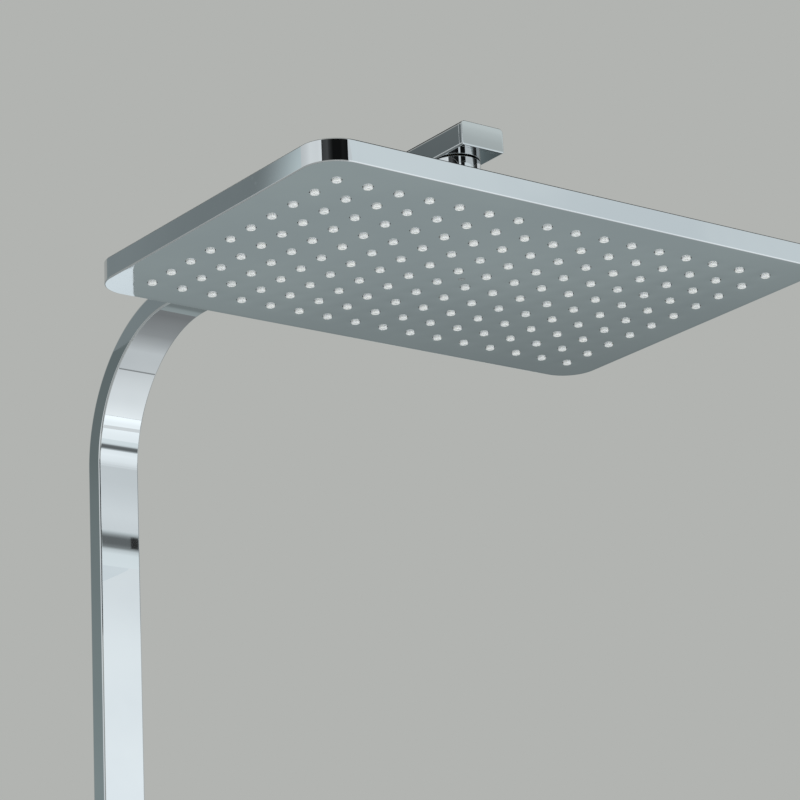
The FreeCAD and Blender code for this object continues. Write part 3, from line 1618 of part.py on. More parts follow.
def make_cartridge_sleeve():
    """Sleeve with its nose, the cold and hot galleries and their ports."""
    outer = s.thermo_bore_radius - s.plain_gap
    nose = s.thermo_nose_radius - s.plain_gap
    half_groove = s.sleeve_groove_width / 2
    nose_groove = s.sleeve_nose_groove_radius
    half_nose = s.sleeve_nose_groove_width / 2
    body = turned_body("cartridge_sleeve", [
        (s.sleeve_nose_hole_radius, sleeve_nose),
        (nose, sleeve_nose),
        (nose, hot_port_station - half_nose),
        (nose_groove, hot_port_station - half_nose),
        (nose_groove, hot_port_station + half_nose),
        (nose, hot_port_station + half_nose),
        (nose, thermo_floor),
        (outer, thermo_floor),
        (outer, cold_port_station - half_groove),
        (s.sleeve_groove_radius, cold_port_station - half_groove),
        (s.sleeve_groove_radius, cold_port_station + half_groove),
        (outer, cold_port_station + half_groove),
        (outer, mouth_floor),
        (s.sleeve_bore_radius, mouth_floor),
        (s.sleeve_bore_radius, sleeve_floor),
        (s.sleeve_nose_hole_radius, sleeve_floor),
    ])
    for station in sleeve_ring_stations():
        half = s.o_ring_section + s.thread_gap
        low = outer - s.o_ring_section * 2 - s.thread_gap
        outline = ring_outline(low, outer + s.overrun, station - half, station + half)
        turned_cut(body, outline)
    for station in (hot_port_station, cold_port_station):
        port = new_sketch(body, "XZ_Plane")
        draw_circle(port, s.sleeve_port_radius, 0, station)
        cut = pocket(body, port, outer + s.overrun)
        ring_of(body, [cut], s.sleeve_ports_count)
    put(body, valve_place, TO_RIGHT)
    keep(body, "cartridge_sleeve")


def sleeve_ring_stations():
    """O-rings each side of the cold gallery."""
    half_groove = s.sleeve_groove_width / 2
    inner = (thermo_floor + cold_port_station - half_groove) / 2
    outer = (cold_port_station + half_groove + mouth_floor) / 2
    return [inner, outer]


def make_cartridge_o_rings():
    x, y, z = valve_place
    rings = []
    for index, station in enumerate(sleeve_ring_stations(), start=1):
        rings.append(
            o_ring(f"cartridge_ring_{index}", s.thermo_bore_radius, (x + station, y, z), TO_RIGHT)
        )
    group("cartridge_o_rings", rings)


def make_wax_element():
    """Wax element: rod, cup and the pin that it pushes out when warm."""
    body = turned_body("wax_element", [
        (0, element_low),
        (s.element_rod_radius, element_low),
        (s.element_rod_radius, cup_low),
        (s.element_cup_radius, cup_low),
        (s.element_cup_radius, pin_low),
        (s.element_pin_radius, pin_low),
        (s.element_pin_radius, push_low),
        (0, push_low),
    ])
    put(body, valve_place, TO_RIGHT)
    keep(body, "wax_element")


def make_shuttle():
    """Spool that covers the hot or the cold ports, carried by the wax element on its web."""
    bore = s.element_rod_radius + s.plain_gap
    outer = s.sleeve_bore_radius - s.running_gap
    inner = outer - s.shuttle_wall
    low = web_low - s.shuttle_nose
    high = cup_low + s.shuttle_tail
    body = turned_body("shuttle", [
        (inner, low), (outer, low), (outer, high), (inner, high),
        (inner, cup_low), (bore, cup_low), (bore, web_low), (inner, web_low),
    ])
    window = round_hole(
        body, s.shuttle_window_radius, s.shuttle_window_offset, 0,
        web_low - s.overrun, cup_low + s.overrun,
    )
    ring_of(body, [window], s.shuttle_windows_count)
    put(body, valve_place, TO_RIGHT)
    keep(body, "shuttle")


def make_return_spring():
    """Spring that pushes the shuttle back off the nose."""
    body = coil(
        "return_spring", s.return_spring_radius, s.return_spring_wire,
        sleeve_floor + s.plain_gap, web_low - s.plain_gap, s.return_spring_turns_count,
    )
    put(body, valve_place, TO_RIGHT)
    keep(body, "return_spring")


def make_push_nut():
    """Nut that the spindle's thread drives along the sleeve, onto the wax element's pin."""
    bore = s.drive_thread_radius + s.running_gap
    outer = s.sleeve_bore_radius - s.running_gap
    high = push_low + s.push_nut_length
    body = turned_body("push_nut", [
        (0, push_low),
        (outer, push_low),
        (outer, high),
        (bore, high),
        (bore, push_low + s.push_nut_floor),
        (0, push_low + s.push_nut_floor),
    ])
    put(body, valve_place, TO_RIGHT)
    keep(body, "push_nut")


def make_regulating_spindle():
    """Spindle of the temperature handle, with its drive thread inside the sleeve."""
    flange_low = flange_back - s.spindle_flange
    thread_low = push_low + s.push_nut_floor + s.drive_end_gap
    body = turned_body("regulating_spindle", spindle_outline([
        (0, thread_low),
        (s.drive_thread_radius, thread_low),
        (s.drive_thread_radius, flange_low),
        (s.sleeve_bore_radius - s.running_gap, flange_low),
        (s.sleeve_bore_radius - s.running_gap, flange_back),
    ]))
    put(body, valve_place, TO_RIGHT)
    keep(body, "regulating_spindle")


def add_cylinder(name, radius, height, place, turn, angle=None):
    """A plain cylinder, or a sector of one when an angle is given."""
    cylinder = doc.addObject("Part::Cylinder", name)
    bind(cylinder, "Radius", radius)
    bind(cylinder, "Height", height)
    if angle is not None:
        bind(cylinder, "Angle", angle)
    put(cylinder, place, turn)
    return cylinder


def make_stop_ring():
    """Stop ring on the cartridge nut's hub, with a lug at the warm and at the cold limit."""
    x, y, z = valve_place
    low = valve_end + s.stop_ring_gap - s.plain_gap
    place = (x + low, y, z)
    sleeve = add_cylinder("stop_sleeve", s.stop_ring_sleeve_radius, s.stop_ring_depth, place, TO_RIGHT)
    plate = add_cylinder("stop_plate", s.stop_ring_plate_radius, s.stop_ring_plate, place, TO_RIGHT)
    warm_start = s.stop_lug_lead_angle
    cold_start = -(s.handle_travel_angle + s.stop_lug_angle + s.stop_lug_lead_angle)
    lugs = []
    for index, start in enumerate((warm_start, cold_start), start=1):
        # A sector starts straight down after the turn, and the catch rests at the front
        turn = Rotation(Vector(1, 0, 0), start.value - 90) * TO_RIGHT
        lugs.append(add_cylinder(
            f"stop_lug_{index}", s.stop_ring_plate_radius, s.stop_ring_depth, place, turn, s.stop_lug_angle
        ))
    core_height = s.stop_ring_depth - s.stop_ring_plate + s.overrun
    core_place = (x + low + s.stop_ring_plate, y, z)
    core = add_cylinder("stop_core", s.stop_lug_radius, core_height, core_place, TO_RIGHT)
    lug_pair = doc.addObject("Part::MultiFuse", "stop_lugs")
    lug_pair.Shapes = lugs
    lug_ring = doc.addObject("Part::Cut", "stop_lug_ring")
    lug_ring.Base = lug_pair
    lug_ring.Tool = core
    whole = doc.addObject("Part::MultiFuse", "stop_whole")
    whole.Shapes = [sleeve, plate, lug_ring]
    bore_height = s.stop_ring_depth + s.overrun * 2
    bore_place = (x + low - s.overrun, y, z)
    bore_radius = s.cartridge_hub_radius + s.plain_gap
    bore = add_cylinder("stop_bore", bore_radius, bore_height, bore_place, TO_RIGHT)
    ring = doc.addObject("Part::Cut", "stop_ring")
    ring.Base = whole
    ring.Tool = bore
    keep(ring, "stop_ring")


button_station = handle_low + s.button_setback


def make_temperature_handle():
    """Temperature handle, pierced at the front for the safety button."""
    body = make_handle_body("temperature_handle")
    hole = new_sketch(body, "XZ_Plane", s.button_foot)
    draw_circle(hole, s.button_radius + s.plain_gap, 0, button_station)
    pocket(body, hole, s.handle_radius, reversed_way=True)
    put(body, valve_place, TO_RIGHT)
    keep(body, "temperature_handle")


def make_safety_button():
    """Button that lifts its catch past the stop lug when pressed."""
    body = new_body("safety_button")
    x, y, z = valve_place
    top = s.handle_radius + s.button_proud
    knob = new_sketch(body, "XY_Plane", s.button_foot)
    draw_circle(knob, s.button_radius)
    pad(body, knob, top - s.button_foot)
    soften(body, s.button_edge)
    stem = new_sketch(body, "XY_Plane", s.button_foot)
    draw_circle(stem, s.button_stem_radius)
    stem_end = s.handle_hub_radius + s.rest_gap + s.button_travel
    pad(body, stem, s.button_foot - stem_end, reversed_way=True)
    catch = new_sketch(body, "XY_Plane", s.button_foot)
    half = s.catch_width / 2
    ring_high = valve_end + s.stop_ring_gap - s.plain_gap + s.stop_ring_plate
    reach = button_station - ring_high - s.rest_gap
    draw_outline(catch, [(-reach, -half), (0, -half), (0, half), (-reach, half)])
    pad(body, catch, s.catch_depth)
    put(body, (x + button_station, y, z), TO_FRONT)
    keep(body, "safety_button")


def make_button_spring():
    """Spring between the handle's hub and the safety button."""
    x, y, z = valve_place
    body = coil(
        "button_spring", s.button_spring_radius, s.button_spring_wire,
        s.handle_hub_radius + s.rest_gap, s.button_foot - s.plain_gap, s.button_spring_turns_count,
    )
    put(body, (x + button_station, y, z), TO_FRONT)
    keep(body, "button_spring")


# Diverter cartridge, in the left end

sleeve_back = diverter_face + s.diverter_floor
fixed_disc_high = sleeve_back + s.disc_thickness
moving_disc_low = fixed_disc_high + s.running_gap
moving_disc_high = moving_disc_low + s.disc_thickness


def outlet_holes(body, low, high):
    """The mixed-water hole and the two outlet holes, as the valve body has them."""
    mixed = s.mixed_channel_radius - s.plain_gap
    round_hole(body, mixed, 0, -s.mixed_channel_offset, low, high)
    for way in (1, -1):
        radius = s.outlet_channel_radius - s.plain_gap
        round_hole(body, radius, s.outlet_channel_offset * way, 0, low, high)


def make_diverter_sleeve():
    """Cup that holds the two ceramic discs."""
    outer = s.diverter_bore_radius - s.plain_gap
    body = turned_body("diverter_sleeve", [
        (0, diverter_face),
        (outer, diverter_face),
        (outer, mouth_floor),
        (outer - s.diverter_sleeve_wall, mouth_floor),
        (outer - s.diverter_sleeve_wall, sleeve_back),
        (0, sleeve_back),
    ])
    outlet_holes(body, diverter_face - s.overrun, sleeve_back + s.overrun)
    put(body, valve_place, TO_LEFT)
    keep(body, "diverter_sleeve")


def make_fixed_disc():
    """Fixed ceramic disc with the three holes."""
    body = turned_body("fixed_disc", ring_outline(0, s.disc_radius, sleeve_back, fixed_disc_high))
    outlet_holes(body, sleeve_back - s.overrun, fixed_disc_high + s.overrun)
    put(body, valve_place, TO_LEFT)
    keep(body, "fixed_disc")


def make_moving_disc():
    """Moving ceramic disc, hollowed on its wet face to join the middle to one outlet."""
    body = turned_body("moving_disc", ring_outline(0, s.disc_radius, moving_disc_low, moving_disc_high))
    hollow = new_sketch(body, "XY_Plane", moving_disc_low + s.disc_pocket_depth)
    reach = s.outlet_channel_offset + s.outlet_channel_radius - s.plain_gap
    length = reach + s.outlet_channel_radius
    draw_rounded_rectangle(
        hollow, s.outlet_channel_radius * 2, length, s.outlet_channel_radius - s.plain_gap,
        0, -(reach - length / 2),
    )
    pocket(body, hollow, s.disc_pocket_depth + s.overrun)
    put(body, valve_place, TO_LEFT)
    keep(body, "moving_disc")


def make_diverter_spindle():
    """Spindle of the diverter handle, with the driving flange on the moving disc."""
    drive = s.disc_radius - s.plain_gap
    body = turned_body("diverter_spindle", spindle_outline([
        (0, moving_disc_high),
        (drive, moving_disc_high),
        (drive, flange_back),
    ]))
    put(body, valve_place, TO_LEFT)
    keep(body, "diverter_spindle")


def make_diverter_handle():
    """Diverter handle with a grip fin at the front."""
    body = make_handle_body("diverter_handle")
    fin = new_sketch(body, "YZ_Plane")
    middle = (handle_low + handle_high) / 2
    inner = s.handle_radius - s.handle_wall / 2
    draw_outline(fin, [
        (-inner, middle - s.fin_length / 2),
        (-(s.handle_radius + s.fin_rise), middle - s.fin_length / 2),
        (-(s.handle_radius + s.fin_rise), middle + s.fin_length / 2),
        (-inner, middle + s.fin_length / 2),
    ])
    pad(body, fin, s.fin_width, midplane=True)
    put(body, valve_place, TO_LEFT)
    keep(body, "diverter_handle")


make_head_face()
make_nozzle_mat()
make_water_plate()
make_chamber_seal()
make_plate_screws()
make_centre_screw()
make_head_cover()
make_ball_socket()
make_ball_cap()
make_joint_ring("slip_ring", s.slip_ring_wall, s.slip_ring_low, s.slip_ring_high)
make_joint_ring("ball_seat", s.seat_wall, -s.seat_low, -s.seat_high)
make_ball_stem()
make_swivel_nut()
make_joint_washer()
make_outlet_nipple()
make_flow_regulator()
make_riser_arm()
make_arm_end_cap()
make_riser_foot()
make_foot_o_rings()
make_riser_collar()
make_bracket_spigot()
make_bracket_screw()
make_wall_plug()
make_bracket_post()
make_grub_screws()
make_wall_unions()
make_escutcheons()
make_union_nuts()
make_union_washers()
make_inlet_tails()
make_check_cages()
for side, side_x in (("hot", -supply_x), ("cold", supply_x)):
    make_poppet(side + "_poppet", side_x)
    make_poppet_spring(side + "_poppet_spring", side_x)
make_valve_body()
make_hose_outlet()
make_cartridge_nuts()
make_cartridge_sleeve()
make_cartridge_o_rings()
make_wax_element()
make_shuttle()
make_return_spring()
make_push_nut()
make_regulating_spindle()
make_stop_ring()
make_temperature_handle()
make_safety_button()
make_button_spring()
make_handle_screw("temperature_screw", TO_RIGHT)
make_handle_cap("temperature_cap", TO_RIGHT)
make_diverter_sleeve()
make_fixed_disc()
make_moving_disc()
make_diverter_spindle()
make_diverter_handle()
make_handle_screw("diverter_screw", TO_LEFT)
make_handle_cap("diverter_cap", TO_LEFT)
doc.recompute()

# Checks: no failed object, no cut that cuts nothing, every sub-part a sound solid

CUTS = ("PartDesign::Pocket", "PartDesign::Groove", "PartDesign::SubtractiveSphere")
problems = []
for item in doc.Objects:
    if "Invalid" in item.State or "Error" in item.State:
        problems.append(f"{item.Name} is {item.State}")
    elif item.TypeId in CUTS and item.BaseFeature is not None:
        if item.Shape.Volume >= item.BaseFeature.Shape.Volume:
            problems.append(f"{item.Name} cuts nothing")
for label, piece in pieces.items():
    shape = piece.Shape
    if shape.isNull() or not shape.isValid() or not shape.Solids:
        problems.append(f"{label} isn't a sound solid")
if problems:
    raise RuntimeError("; ".join(problems))

for label, piece in pieces.items():
    piece.Shape.exportStep(f"parts/{label}.step")
print(len(pieces), "sub-parts written")
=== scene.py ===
"""Looks of a thermostatic rain shower: head, arm, riser, bracket and bar valve.

Sizes in the classes are millimetres in the part's own frame: +X to the right along the
wall, +Y into the wall, +Z up, with the origin on the wall midway between the supplies.
"""

import json
import logging
from dataclasses import dataclass, field
from enum import Enum
from typing import ClassVar

import bmesh
import bpy
import numpy as np
from mathutils import Matrix


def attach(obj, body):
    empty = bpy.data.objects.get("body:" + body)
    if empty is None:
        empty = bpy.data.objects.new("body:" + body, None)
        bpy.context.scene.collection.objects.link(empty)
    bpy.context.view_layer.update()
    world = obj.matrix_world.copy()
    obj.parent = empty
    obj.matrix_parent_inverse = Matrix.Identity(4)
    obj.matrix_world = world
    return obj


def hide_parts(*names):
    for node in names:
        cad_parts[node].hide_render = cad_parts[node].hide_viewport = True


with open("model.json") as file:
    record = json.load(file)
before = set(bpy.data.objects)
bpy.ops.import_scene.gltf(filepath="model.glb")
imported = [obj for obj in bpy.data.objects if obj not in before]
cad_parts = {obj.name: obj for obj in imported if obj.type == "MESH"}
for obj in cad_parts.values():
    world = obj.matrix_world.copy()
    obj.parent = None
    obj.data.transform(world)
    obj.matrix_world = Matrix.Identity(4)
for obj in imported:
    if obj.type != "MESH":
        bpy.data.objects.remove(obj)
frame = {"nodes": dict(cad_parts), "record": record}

LOG = logging.getLogger("rain_shower")

# A millimetre in metres, how near points are joined, and how little a lid counts in normals.
MM = 0.001
MERGE = 2e-6
LID_SHARE = 0.001


# Shapes


class Facing(Enum):
    """Which way a turned piece's own axis points; the rows are its X, Y and Z in the frame."""

    UP = ((1.0, 0.0, 0.0), (0.0, 1.0, 0.0), (0.0, 0.0, 1.0))
    FRONT = ((1.0, 0.0, 0.0), (0.0, 0.0, 1.0), (0.0, -1.0, 0.0))


@dataclass
class Skin:
    """A grid of surface points, rows by columns, in millimetres.

    Attributes:
        points: Array (rows, columns, 3).
        around: The last column joins the first.
        lids: Whether the first and the last row are closed with a flat face.
    """

    points: np.ndarray
    around: bool = True
    lids: tuple[bool, bool] = (False, False)

    def faces(self, start: int) -> list[tuple[int, ...]]:
        """Corner numbers of the faces.

        Args:
            start: Number of this skin's first point in the whole mesh.

        Returns:
            Quads between neighbouring rows and columns, then the lids.
        """
        rows, columns = self.points.shape[:2]
        index = start + np.arange(rows * columns).reshape(rows, columns)
        grid = np.hstack([index, index[:, :1]]) if self.around else index
        quads = np.stack(
            [grid[:-1, :-1], grid[:-1, 1:], grid[1:, 1:], grid[1:, :-1]], axis=-1
        ).reshape(-1, 4)
        made = [tuple(q) for q in quads.tolist()]
        if self.lids[0]:
            made.append(tuple(index[0, ::-1].tolist()))
        if self.lids[1]:
            made.append(tuple(index[-1].tolist()))
        return made

    def placed(self, facing: Facing, place: tuple[float, float, float]) -> "Skin":
        """This skin turned to face a way and moved.

        Args:
            facing: Direction of the skin's own Z.
            place: Where its origin goes, in millimetres.

        Returns:
            A new skin with points p X + q Y + r Z + place.
        """
        moved = self.points @ np.array(facing.value) + np.array(place)
        return Skin(moved, self.around, self.lids)


def rounded_path(
    corners: list[tuple[float, ...]] | np.ndarray,
    radii: float | list[float] | np.ndarray,
    steps: int = 6,
    closed: bool = True,
) -> np.ndarray:
    """Rounds the corners of a run of straight lines.

    A corner P whose sides leave along u and v, with the angle a between them, becomes the
    arc of radius r that touches both sides at the distance r / tan(a / 2) from P. The arc
    is the quadratic curve with the middle weight sin(a / 2), which is an exact circle.

    Args:
        corners: Points of the run.
        radii: One radius, or one for each corner.
        steps: Points on each arc.
        closed: Whether the last point is joined to the first; if not, both ends stay.

    Returns:
        Array of points along the rounded run.
    """
    points = np.asarray(corners, float)
    radius = np.broadcast_to(np.asarray(radii, float), (len(points),))[:, None]
    back = np.roll(points, 1, axis=0) - points
    on = np.roll(points, -1, axis=0) - points
    back /= np.linalg.norm(back, axis=1, keepdims=True)
    on /= np.linalg.norm(on, axis=1, keepdims=True)
    half = np.arccos(np.clip((back * on).sum(1, keepdims=True), -1.0, 1.0)) / 2
    reach = radius / np.tan(half)
    s = np.linspace(0.0, 1.0, steps)[None, :, None]
    weight = np.sin(half)[:, None]
    first, last = (points + reach * back)[:, None], (points + reach * on)[:, None]
    scale = (1 - s) ** 2 + 2 * s * (1 - s) * weight + s**2
    arc = ((1 - s) ** 2 * first + 2 * s * (1 - s) * weight * points[:, None] + s**2 * last) / scale
    if closed:
        return arc.reshape(-1, points.shape[1])
    return np.concatenate([points[:1], arc[1:-1].reshape(-1, points.shape[1]), points[-1:]])


def turned(outline: np.ndarray, segments: int = 96) -> Skin:
    """A turned surface.

    With an outline of (r, z) points, the point at the angle t is (r cos t, r sin t, z).
    A closed outline runs up the outer wall and down the inner one.

    Args:
        outline: Array (n, 2) of radius and height; the first point is repeated at the end.
        segments: Steps round the axis.

    Returns:
        The skin about its own Z axis.
    """
    ring = np.vstack([outline, outline[:1]])
    angle = np.linspace(0.0, 2 * np.pi, segments, endpoint=False)
    r, z = ring[:, :1], ring[:, 1:]
    return Skin(np.stack([r * np.cos(angle), r * np.sin(angle), z + 0 * angle], axis=-1))


def threaded(skin: Skin, low: float, high: float, pitch: float, depth: float) -> Skin:
    """Cuts a screw thread in the outer wall of a turned skin.

    At the height z and the angle t the radius shrinks by depth times w, where w goes
    from 0 at the crest to 1 at the root with the phase z / pitch - t / 2 pi. The flanks are
    a little steeper than a plain zigzag, so crest and root stay flat for a short way, and
    the groove fades out over the first and last half pitch.

    Args:
        skin: Turned skin about its own Z axis.
        low: Height where the thread starts.
        high: Height where it ends.
        pitch: Rise of one turn.
        depth: Depth of the groove.

    Returns:
        The skin with the thread.
    """
    steepness, crest = 1.25, 0.1
    x, y, z = np.moveaxis(skin.points, -1, 0)
    radius = np.hypot(x, y)
    phase = z / pitch - np.arctan2(y, x) / (2 * np.pi)
    wave = np.abs((phase % 1.0) - 0.5) * 2
    groove = np.clip(steepness * (1 - wave) - crest, 0.0, 1.0)
    fade = np.clip(np.minimum(z - low, high - z) / (pitch / 2), 0.0, 1.0)
    outer = radius > radius.max() - 2 * depth
    scale = 1 - np.where(outer, depth * groove * fade, 0.0) / np.maximum(radius, 1e-6)
    return Skin(np.stack([x * scale, y * scale, z], axis=-1), skin.around, skin.lids)


def carried(section: np.ndarray, centres: np.ndarray, normals: np.ndarray) -> Skin:
    """A section carried along a path in the plane across the wall.

    The section's point (a, b) at the path's point C with the normal N is C + a X + b N.

    Args:
        section: Array (n, 2), closed.
        centres: Array (m, 3) of path points.
        normals: Array (m, 3) of unit normals of the path, square to X.

    Returns:
        The skin, open at both ends but for its two lids.
    """
    across = np.array([1.0, 0.0, 0.0])
    points = (
        centres[:, None]
        + section[None, :, :1] * across
        + section[None, :, 1:] * normals[:, None]
    )
    return Skin(points, True, (True, True))


@dataclass
class Plan:
    """A rounded rectangle seen from above, with the directions that point out of it.

    Attributes:
        length: Size along X.
        width: Size along Y.
        corner: Radius of its corners, or of each: right front, right back, left back, left front.
        steps: Points on each corner.
        side_x: Extra points along the two long sides.
        side_y: Extra points along the two short sides.
    """

    length: float
    width: float
    corner: float | tuple[float, ...]
    steps: int = 20
    side_x: np.ndarray = field(default_factory=lambda: np.zeros(0))
    side_y: np.ndarray = field(default_factory=lambda: np.zeros(0))

    def line(self) -> tuple[np.ndarray, np.ndarray]:
        """Points of the outline and the outward directions there.

        Returns:
            Two arrays (n, 2). A corner's points are centre + corner (cos t, sin t).
        """
        turn = np.linspace(0.0, np.pi / 2, self.steps)
        half = np.array([self.length, self.width]) / 2
        corners = np.broadcast_to(self.corner, (4,))
        spots, ways = [], []
        signs = ((1, -1), (1, 1), (-1, 1), (-1, -1))
        sides = (self.side_y, -self.side_x, -self.side_y, self.side_x)
        for number, (sign, side, corner) in enumerate(zip(signs, sides, corners)):
            angle = turn + np.pi / 2 * (number - 1)
            way = np.stack([np.cos(angle), np.sin(angle)], axis=-1)
            spots.append(np.array(sign) * (half - corner) + corner * way)
            ways.append(way)
            run = np.repeat(way[-1:], len(side), axis=0)
            edge = np.where(np.abs(run) > 0.5, run * half, side[:, None])
            spots.append(edge)
            ways.append(run)
        return np.vstack(spots), np.vstack(ways)

    def carry(self, profile: np.ndarray) -> np.ndarray:
        """A profile carried round the outline.

        The profile's point (i, z) at the outline's point P with the outward direction N
        is (P - i N, z).

        Args:
            profile: Array (m, 2) of inset and height.

        Returns:
            Array (m, n, 3).
        """
        spots, ways = self.line()
        flat = spots[None] - profile[:, :1, None] * ways[None]
        height = np.broadcast_to(profile[:, 1:, None], flat.shape[:2] + (1,))
        return np.concatenate([flat, height], axis=-1)


class Piece:
    """Builds one object of the scene from skins and hands it to the part's frame."""

    def __init__(self, name: str, skins: list[Skin]) -> None:
        """Keeps the name and the surfaces.

        Args:
            name: Name of the object.
            skins: Surfaces in the part's frame, in millimetres.
        """
        self.name = name
        self.skins = skins

    def build(self) -> bpy.types.Object:
        """Makes the mesh, joins its seams, turns its faces out and smooths it.

        Each corner's normal is the sum of the neighbouring faces' normals times their
        areas, so that a flat stays flat up to its narrow rounding. Lids hardly count.

        Returns:
            The object, at the origin.
        """
        counts = np.cumsum([0] + [s.points[..., 0].size for s in self.skins])
        points = np.concatenate([s.points.reshape(-1, 3) for s in self.skins]) * MM
        faces = [f for s, start in zip(self.skins, counts) for f in s.faces(int(start))]
        mesh = bpy.data.meshes.new(self.name)
        mesh.from_pydata(points, [], faces)
        work = bmesh.new()
        work.from_mesh(mesh)
        bmesh.ops.remove_doubles(work, verts=work.verts, dist=MERGE)
        bmesh.ops.dissolve_degenerate(work, edges=work.edges, dist=MERGE / 2)
        bmesh.ops.recalc_face_normals(work, faces=work.faces)
        work.to_mesh(mesh)
        work.free()
        mesh.shade_smooth()
        self.lay_normals(mesh)
        piece = bpy.data.objects.new(self.name, mesh)
        bpy.context.scene.collection.objects.link(piece)
        return piece

    @staticmethod
    def lay_normals(mesh: bpy.types.Mesh) -> None:
        """Gives every corner the area-weighted normal.

        Args:
            mesh: Mesh to finish.
        """
        normal = np.zeros(len(mesh.polygons) * 3)
        area = np.zeros(len(mesh.polygons))
        total = np.zeros(len(mesh.polygons), int)
        corner = np.zeros(len(mesh.loops), int)
        mesh.polygons.foreach_get("normal", normal)
        mesh.polygons.foreach_get("area", area)
        mesh.polygons.foreach_get("loop_total", total)
        mesh.loops.foreach_get("vertex_index", corner)
        area[total > 4] *= LID_SHARE
        pull = np.repeat(normal.reshape(-1, 3) * area[:, None], total, axis=0)
        sums = np.stack(
            [np.bincount(corner, pull[:, k], len(mesh.vertices)) for k in range(3)], axis=-1
        )
        size = np.linalg.norm(sums, axis=1, keepdims=True)
        mesh.normals_split_custom_set_from_vertices(sums / np.maximum(size, 1e-20))


# Effects and finishes


@dataclass(frozen=True)
class Effect:
    """A shader node group with named sockets, built once and used by many finishes.

    Attributes:
        name: Name of the group.
        inputs: Socket name to (type, default).
        outputs: Socket name to type.
    """

    name: str
    inputs: dict[str, tuple[str, float]]
    outputs: dict[str, str]

    def open_group(self) -> bpy.types.NodeTree:
        """Makes the empty group with its sockets.

        Returns:
            The new node tree.
        """
        tree = bpy.data.node_groups.new(self.name, "ShaderNodeTree")
        for label, (kind, value) in self.inputs.items():
            socket = tree.interface.new_socket(label, in_out="INPUT", socket_type=kind)
            if kind == "NodeSocketFloat":
                socket.default_value = value
        for label, kind in self.outputs.items():
            tree.interface.new_socket(label, in_out="OUTPUT", socket_type=kind)
        return tree


def add(tree: bpy.types.NodeTree, kind: str, **values: object) -> bpy.types.Node:
    """Adds a node.

    Args:
        tree: Tree to add to.
        kind: Blender's name of the node type.
        values: Properties, or socket values where the name has the prefix in_.

    Returns:
        The node.
    """
    node = tree.nodes.new(kind)
    for name, value in values.items():
        if name.startswith("in_"):
            node.inputs[name[3:].replace("_", " ")].default_value = value
        else:
            setattr(node, name, value)
    return node


def math_node(
    tree: bpy.types.NodeTree, operation: str, first: object, second: object, clamp: bool = False
) -> bpy.types.NodeSocket:
    """Adds a sum, product or other operation of two values.

    Args:
        tree: Tree to add to.
        operation: Blender's name of the operation.
        first: Socket or number.
        second: Socket or number.
        clamp: Keeps the result between 0 and 1.

    Returns:
        The result's socket.
    """
    node = add(tree, "ShaderNodeMath", operation=operation, use_clamp=clamp)
    for socket, value in zip(node.inputs, (first, second)):
        if isinstance(value, bpy.types.NodeSocket):
            tree.links.new(value, socket)
        else:
            socket.default_value = value
    return node.outputs[0]


def spread(
    tree: bpy.types.NodeTree, value: bpy.types.NodeSocket, low: float, high: float,
    to_low: object = 0.0, to_high: object = 1.0,
) -> bpy.types.NodeSocket:
    """Maps a value smoothly from one span to another.

    Args:
        tree: Tree to add to.
        value: Socket to map.
        low: Start of the span read.
        high: End of the span read.
        to_low: Start of the span given, a number or a socket.
        to_high: End of the span given, a number or a socket.

    Returns:
        The mapped socket.
    """
    node = add(tree, "ShaderNodeMapRange", interpolation_type="SMOOTHSTEP")
    tree.links.new(value, node.inputs["Value"])
    node.inputs["From Min"].default_value = low
    node.inputs["From Max"].default_value = high
    for name, end in (("To Min", to_low), ("To Max", to_high)):
        if isinstance(end, bpy.types.NodeSocket):
            tree.links.new(end, node.inputs[name])
        else:
            node.inputs[name].default_value = end
    return node.outputs[0]


